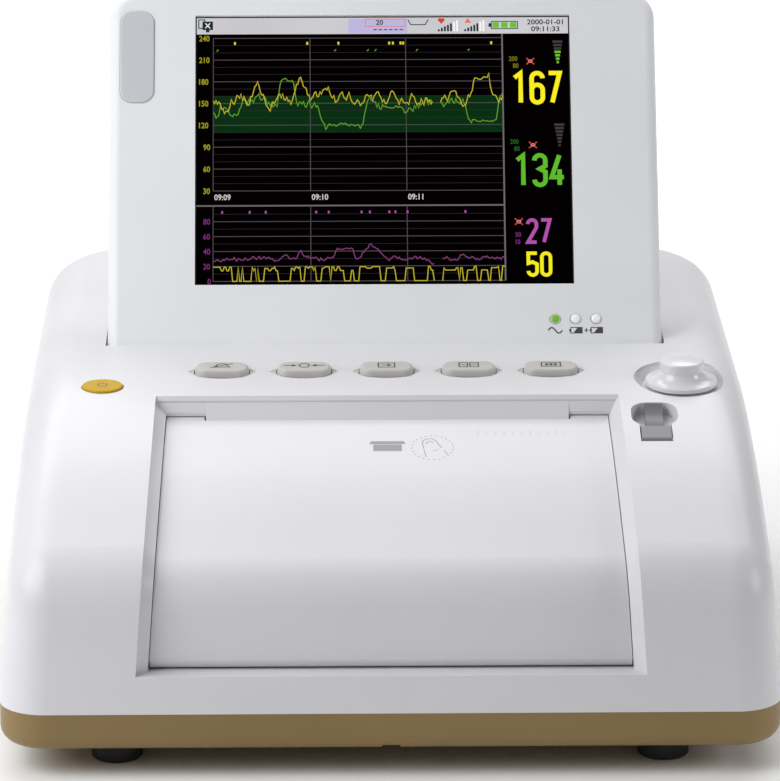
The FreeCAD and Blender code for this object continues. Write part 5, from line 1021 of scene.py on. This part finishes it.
def indicator_dome(name, x):
    """A low dome over an indicator's light pipe."""
    points, faces = [], []
    for ring in range(INDICATOR_RINGS):
        tilt = math.pi / 2 * ring / INDICATOR_RINGS
        radius = INDICATOR_RADIUS * math.cos(tilt)
        rise = INDICATOR_BULGE * math.sin(tilt)
        for step in range(INDICATOR_STEPS):
            points.append(indicator_point(x, radius, math.tau * step / INDICATOR_STEPS, rise))
    points.append(indicator_point(x, 0, 0, INDICATOR_BULGE))
    top = len(points) - 1
    for ring in range(INDICATOR_RINGS):
        for step in range(INDICATOR_STEPS):
            a = ring * INDICATOR_STEPS + step
            b = ring * INDICATOR_STEPS + (step + 1) % INDICATOR_STEPS
            last = ring == INDICATOR_RINGS - 1
            faces.append((a, b, top) if last else (a, b, b + INDICATOR_STEPS, a + INDICATOR_STEPS))
    mesh = bpy.data.meshes.new(name)
    mesh.from_pydata(points, [], faces)
    mesh.shade_smooth()
    return mesh


def indicator_lights():
    """The lit faces of the three indicators."""
    for i, (name, colour, glow) in enumerate(INDICATORS):
        material = frosted(name, colour)
        main = material.node_tree.nodes["Principled BSDF"]
        main.inputs["Emission Color"].default_value = (*colour, 1)
        main.inputs["Emission Strength"].default_value = glow
        dome = indicator_dome(name, INDICATOR_FIRST + INDICATOR_PITCH * i)
        add_piece(name, dome, material, "screen")


# Paper guide: a slope along the top of the door recess, from the edge of the deck down to the door
LIP_PIXEL = (390.0, 401.8)
NOTCH_PIXEL = (390.0, 421.0)
TAB_PIXEL = (181.0, 417.5)
NOTCH_HALF = 79.4 * MM
RECESS_HALF = 101.4 * MM
GUIDE_GAP = 1.2 * MM
GUIDE_FOOT = 1.5 * MM
GUIDE_SINK = 0.3 * MM


def guide_slope(name, left, right, top, front, low):
    """A wedge between the recess wall and a slope that ends at a front edge."""
    _, wall, _, _ = NODES["upper_housing"].ray_cast(Vector((0, front, low)), Vector((0, 1, 0)))
    section = [(top.y, top.z), (front, low), (front, low - GUIDE_FOOT),
               (wall.y + GUIDE_SINK, low - GUIDE_FOOT), (top.y + GUIDE_SINK, top.z)]
    ends = [[(x, y, z) for y, z in section] for x in (left, right)]
    add_piece(name, prism(name, *ends), FINISHES["white_shell"], "base")


def paper_guide():
    """Three strips: one behind the door's notch and one behind each of its shoulders."""
    top, _ = seen_on("upper_housing", LIP_PIXEL)
    notch, _ = seen_on("recorder_door", NOTCH_PIXEL)
    tab, _ = seen_on("recorder_door", TAB_PIXEL)
    guide_slope("paper_guide", -NOTCH_HALF, NOTCH_HALF, top, notch.y + GUIDE_GAP, notch.z)
    low = tab.z + GUIDE_GAP / 2 + GUIDE_FOOT
    guide_slope("paper_guide_left", -RECESS_HALF, -NOTCH_HALF, top, tab.y, low)
    guide_slope("paper_guide_right", NOTCH_HALF, RECESS_HALF, top, tab.y, low)


# Marks on the recorder door, at the pixels where the photograph shows them
TRAY_PIXEL = (387.5, 446.0)
FINGER_PIXEL = (432.5, 447.5)
TICKS_PIXEL = (521.5, 433.0)


def paper_tray_mark():
    """A box under an open lid."""
    mark = Drawing()
    lid = [(-8.0, 1.4), (8.0, 1.4), (7.0, 3.6), (-7.0, 3.6)]
    half, low, high = 6.2, -3.8, 1.0
    mark.shape(lid)
    mark.box(-half, low, half, high)
    return mark


def press_here_mark():
    """A fingertip inside a ring of short dashes."""
    mark = Drawing()
    radius, dashes, dash, dash_steps = 9.0, 24, 6, 2
    finger_left, finger_right = [(-3.0, -7.0), (-4.2, 2.5)], [(6.5, -5.5)]
    fingertip = arc(-1.2, 3.6, 3.1, 170, 30)
    nail = arc(-1.0, 3.0, 1.6, 200, 20, 8)
    crease = [(0.2, -2.8), (2.6, -1.2)]
    for i in range(dashes):
        start = i * FULL_TURN / dashes
        mark.line(arc(0, 0, radius, start, start + dash, dash_steps), STROKE)
    mark.line(finger_left + fingertip + finger_right, STROKE)
    mark.line(nail, FINE_STROKE)
    mark.line(crease, FINE_STROKE)
    return mark


def tick_scale_mark():
    """A row of ticks, every third of them taller."""
    mark = Drawing()
    ticks, step, half = 11, 3.8, 0.3
    every, tall, short = 3, 2.2, 1.2
    for i in range(ticks):
        x = (i - (ticks - 1) / 2) * step
        height = tall if i % every == 0 else short
        mark.box(x - half, -height, x + half, height)
    return mark


def door_marks():
    marks = (("door_tray_mark", paper_tray_mark(), TRAY_PIXEL, ink_grey),
             ("door_press_mark", press_here_mark(), FINGER_PIXEL, ink_grey),
             ("door_tick_mark", tick_scale_mark(), TICKS_PIXEL, ink_faint))
    for name, drawing, pixel, ink in marks:
        point, facing = seen_on("recorder_door", pixel)
        imprint(name, drawing, "recorder_door", "door", point, RIGHT, facing.cross(RIGHT),
                ink)


key_symbols()
key_wedges()
power_symbol()
indicator_symbols()
indicator_lights()
paper_guide()
door_marks()


# Stage, light and camera, in metres and watts
# Painted shade on the floor, in metres from front to back: fully grey at the first depth, white from the second
FLOOR_GREY, FLOOR_WHITE = -0.6, -0.2
PAINTED_SHADE_GREY = (0.42, 0.42, 0.42)
WHITE_PAPER = (0.95, 0.95, 0.95)
MIDDLE = (0, 0, 0.12)
# Each light panel: its place, the point that it faces, its two sides and its power
PANELS = (("overhead", (-0.35, 0.3, 1.9), MIDDLE, (2.6, 2.6), 12.5),
          ("left_key", (-0.8, -0.5, 0.75), MIDDLE, (0.8, 0.8), 9.0),
          ("right_fill", (1.4, -0.4, 0.6), MIDDLE, (0.6, 0.5), 5.0),
          ("floor_light", (0.2, 1.5, 1.7), (0.2, 1.6, 0), (3.0, 1.6), 40))
SKY_COLOUR = (0.97, 0.98, 1.0)
SKY_STRENGTH = 0.16
SIGHT_END = 50


def floor_paint():
    """White paper with painted shade: it turns pale grey in front of the object, darkening the shadow there."""
    material = moulded("stage_floor", WHITE_PAPER, 0.7, 30.0, 0.1, mottle=0.004)
    return shade_along_depth(material, FLOOR_GREY, FLOOR_WHITE, PAINTED_SHADE_GREY, WHITE_PAPER)


def stage_floor():
    """A white sweep: a floor that bends up into the backdrop."""
    material = floor_paint()
    reach, back, rise, bend, steps = 6.0, 2.4, 5.0, 1.2, 12
    profile = [(-reach, 0.0)]
    for i in range(steps + 1):
        turn = math.pi / 2 * i / steps
        profile.append((back + bend * math.sin(turn), bend - bend * math.cos(turn)))
    profile.append((back + bend, rise))
    points = [(side * reach, y, z) for y, z in profile for side in (-1, 1)]
    faces = [(i, i + 1, i + 3, i + 2) for i in range(0, len(points) - 2, 2)]
    mesh = bpy.data.meshes.new("stage_floor")
    mesh.from_pydata(points, [], faces)
    mesh.shade_smooth()
    mesh.materials.append(material)
    floor = bpy.data.objects.new("stage_floor", mesh)
    bpy.context.scene.collection.objects.link(floor)


def area_light(name, place, target, size, power):
    """A light panel that isn't seen itself."""
    light = bpy.data.lights.new(name, "AREA")
    light.shape = "RECTANGLE"
    light.size, light.size_y = size
    light.energy = power
    holder = bpy.data.objects.new(name, light)
    holder.visible_camera = False
    holder.location = place
    holder.rotation_euler = (Vector(target) - Vector(place)).to_track_quat("-Z", "Y").to_euler()
    bpy.context.scene.collection.objects.link(holder)


def studio_light():
    world = bpy.data.worlds.new("studio")
    world.use_nodes = True
    sky = world.node_tree.nodes["Background"]
    sky.inputs["Color"].default_value = (*SKY_COLOUR, 1)
    sky.inputs["Strength"].default_value = SKY_STRENGTH
    bpy.context.scene.world = world
    bpy.context.scene.view_settings.view_transform = "Standard"
    for panel in PANELS:
        area_light(*panel)


def photo_camera():
    lens = bpy.data.cameras.new("photo_camera")
    lens.sensor_width = SENSOR
    lens.lens = FOCAL_PIXELS * SENSOR / max(IMAGE_SIZE)
    lens.clip_end = SIGHT_END
    camera = bpy.data.objects.new("photo_camera", lens)
    camera.location = camera_place
    camera.rotation_euler = (-camera_away).to_track_quat("-Z", "Y").to_euler()
    bpy.context.scene.collection.objects.link(camera)
    bpy.context.scene.camera = camera


stage_floor()
studio_light()
photo_camera()
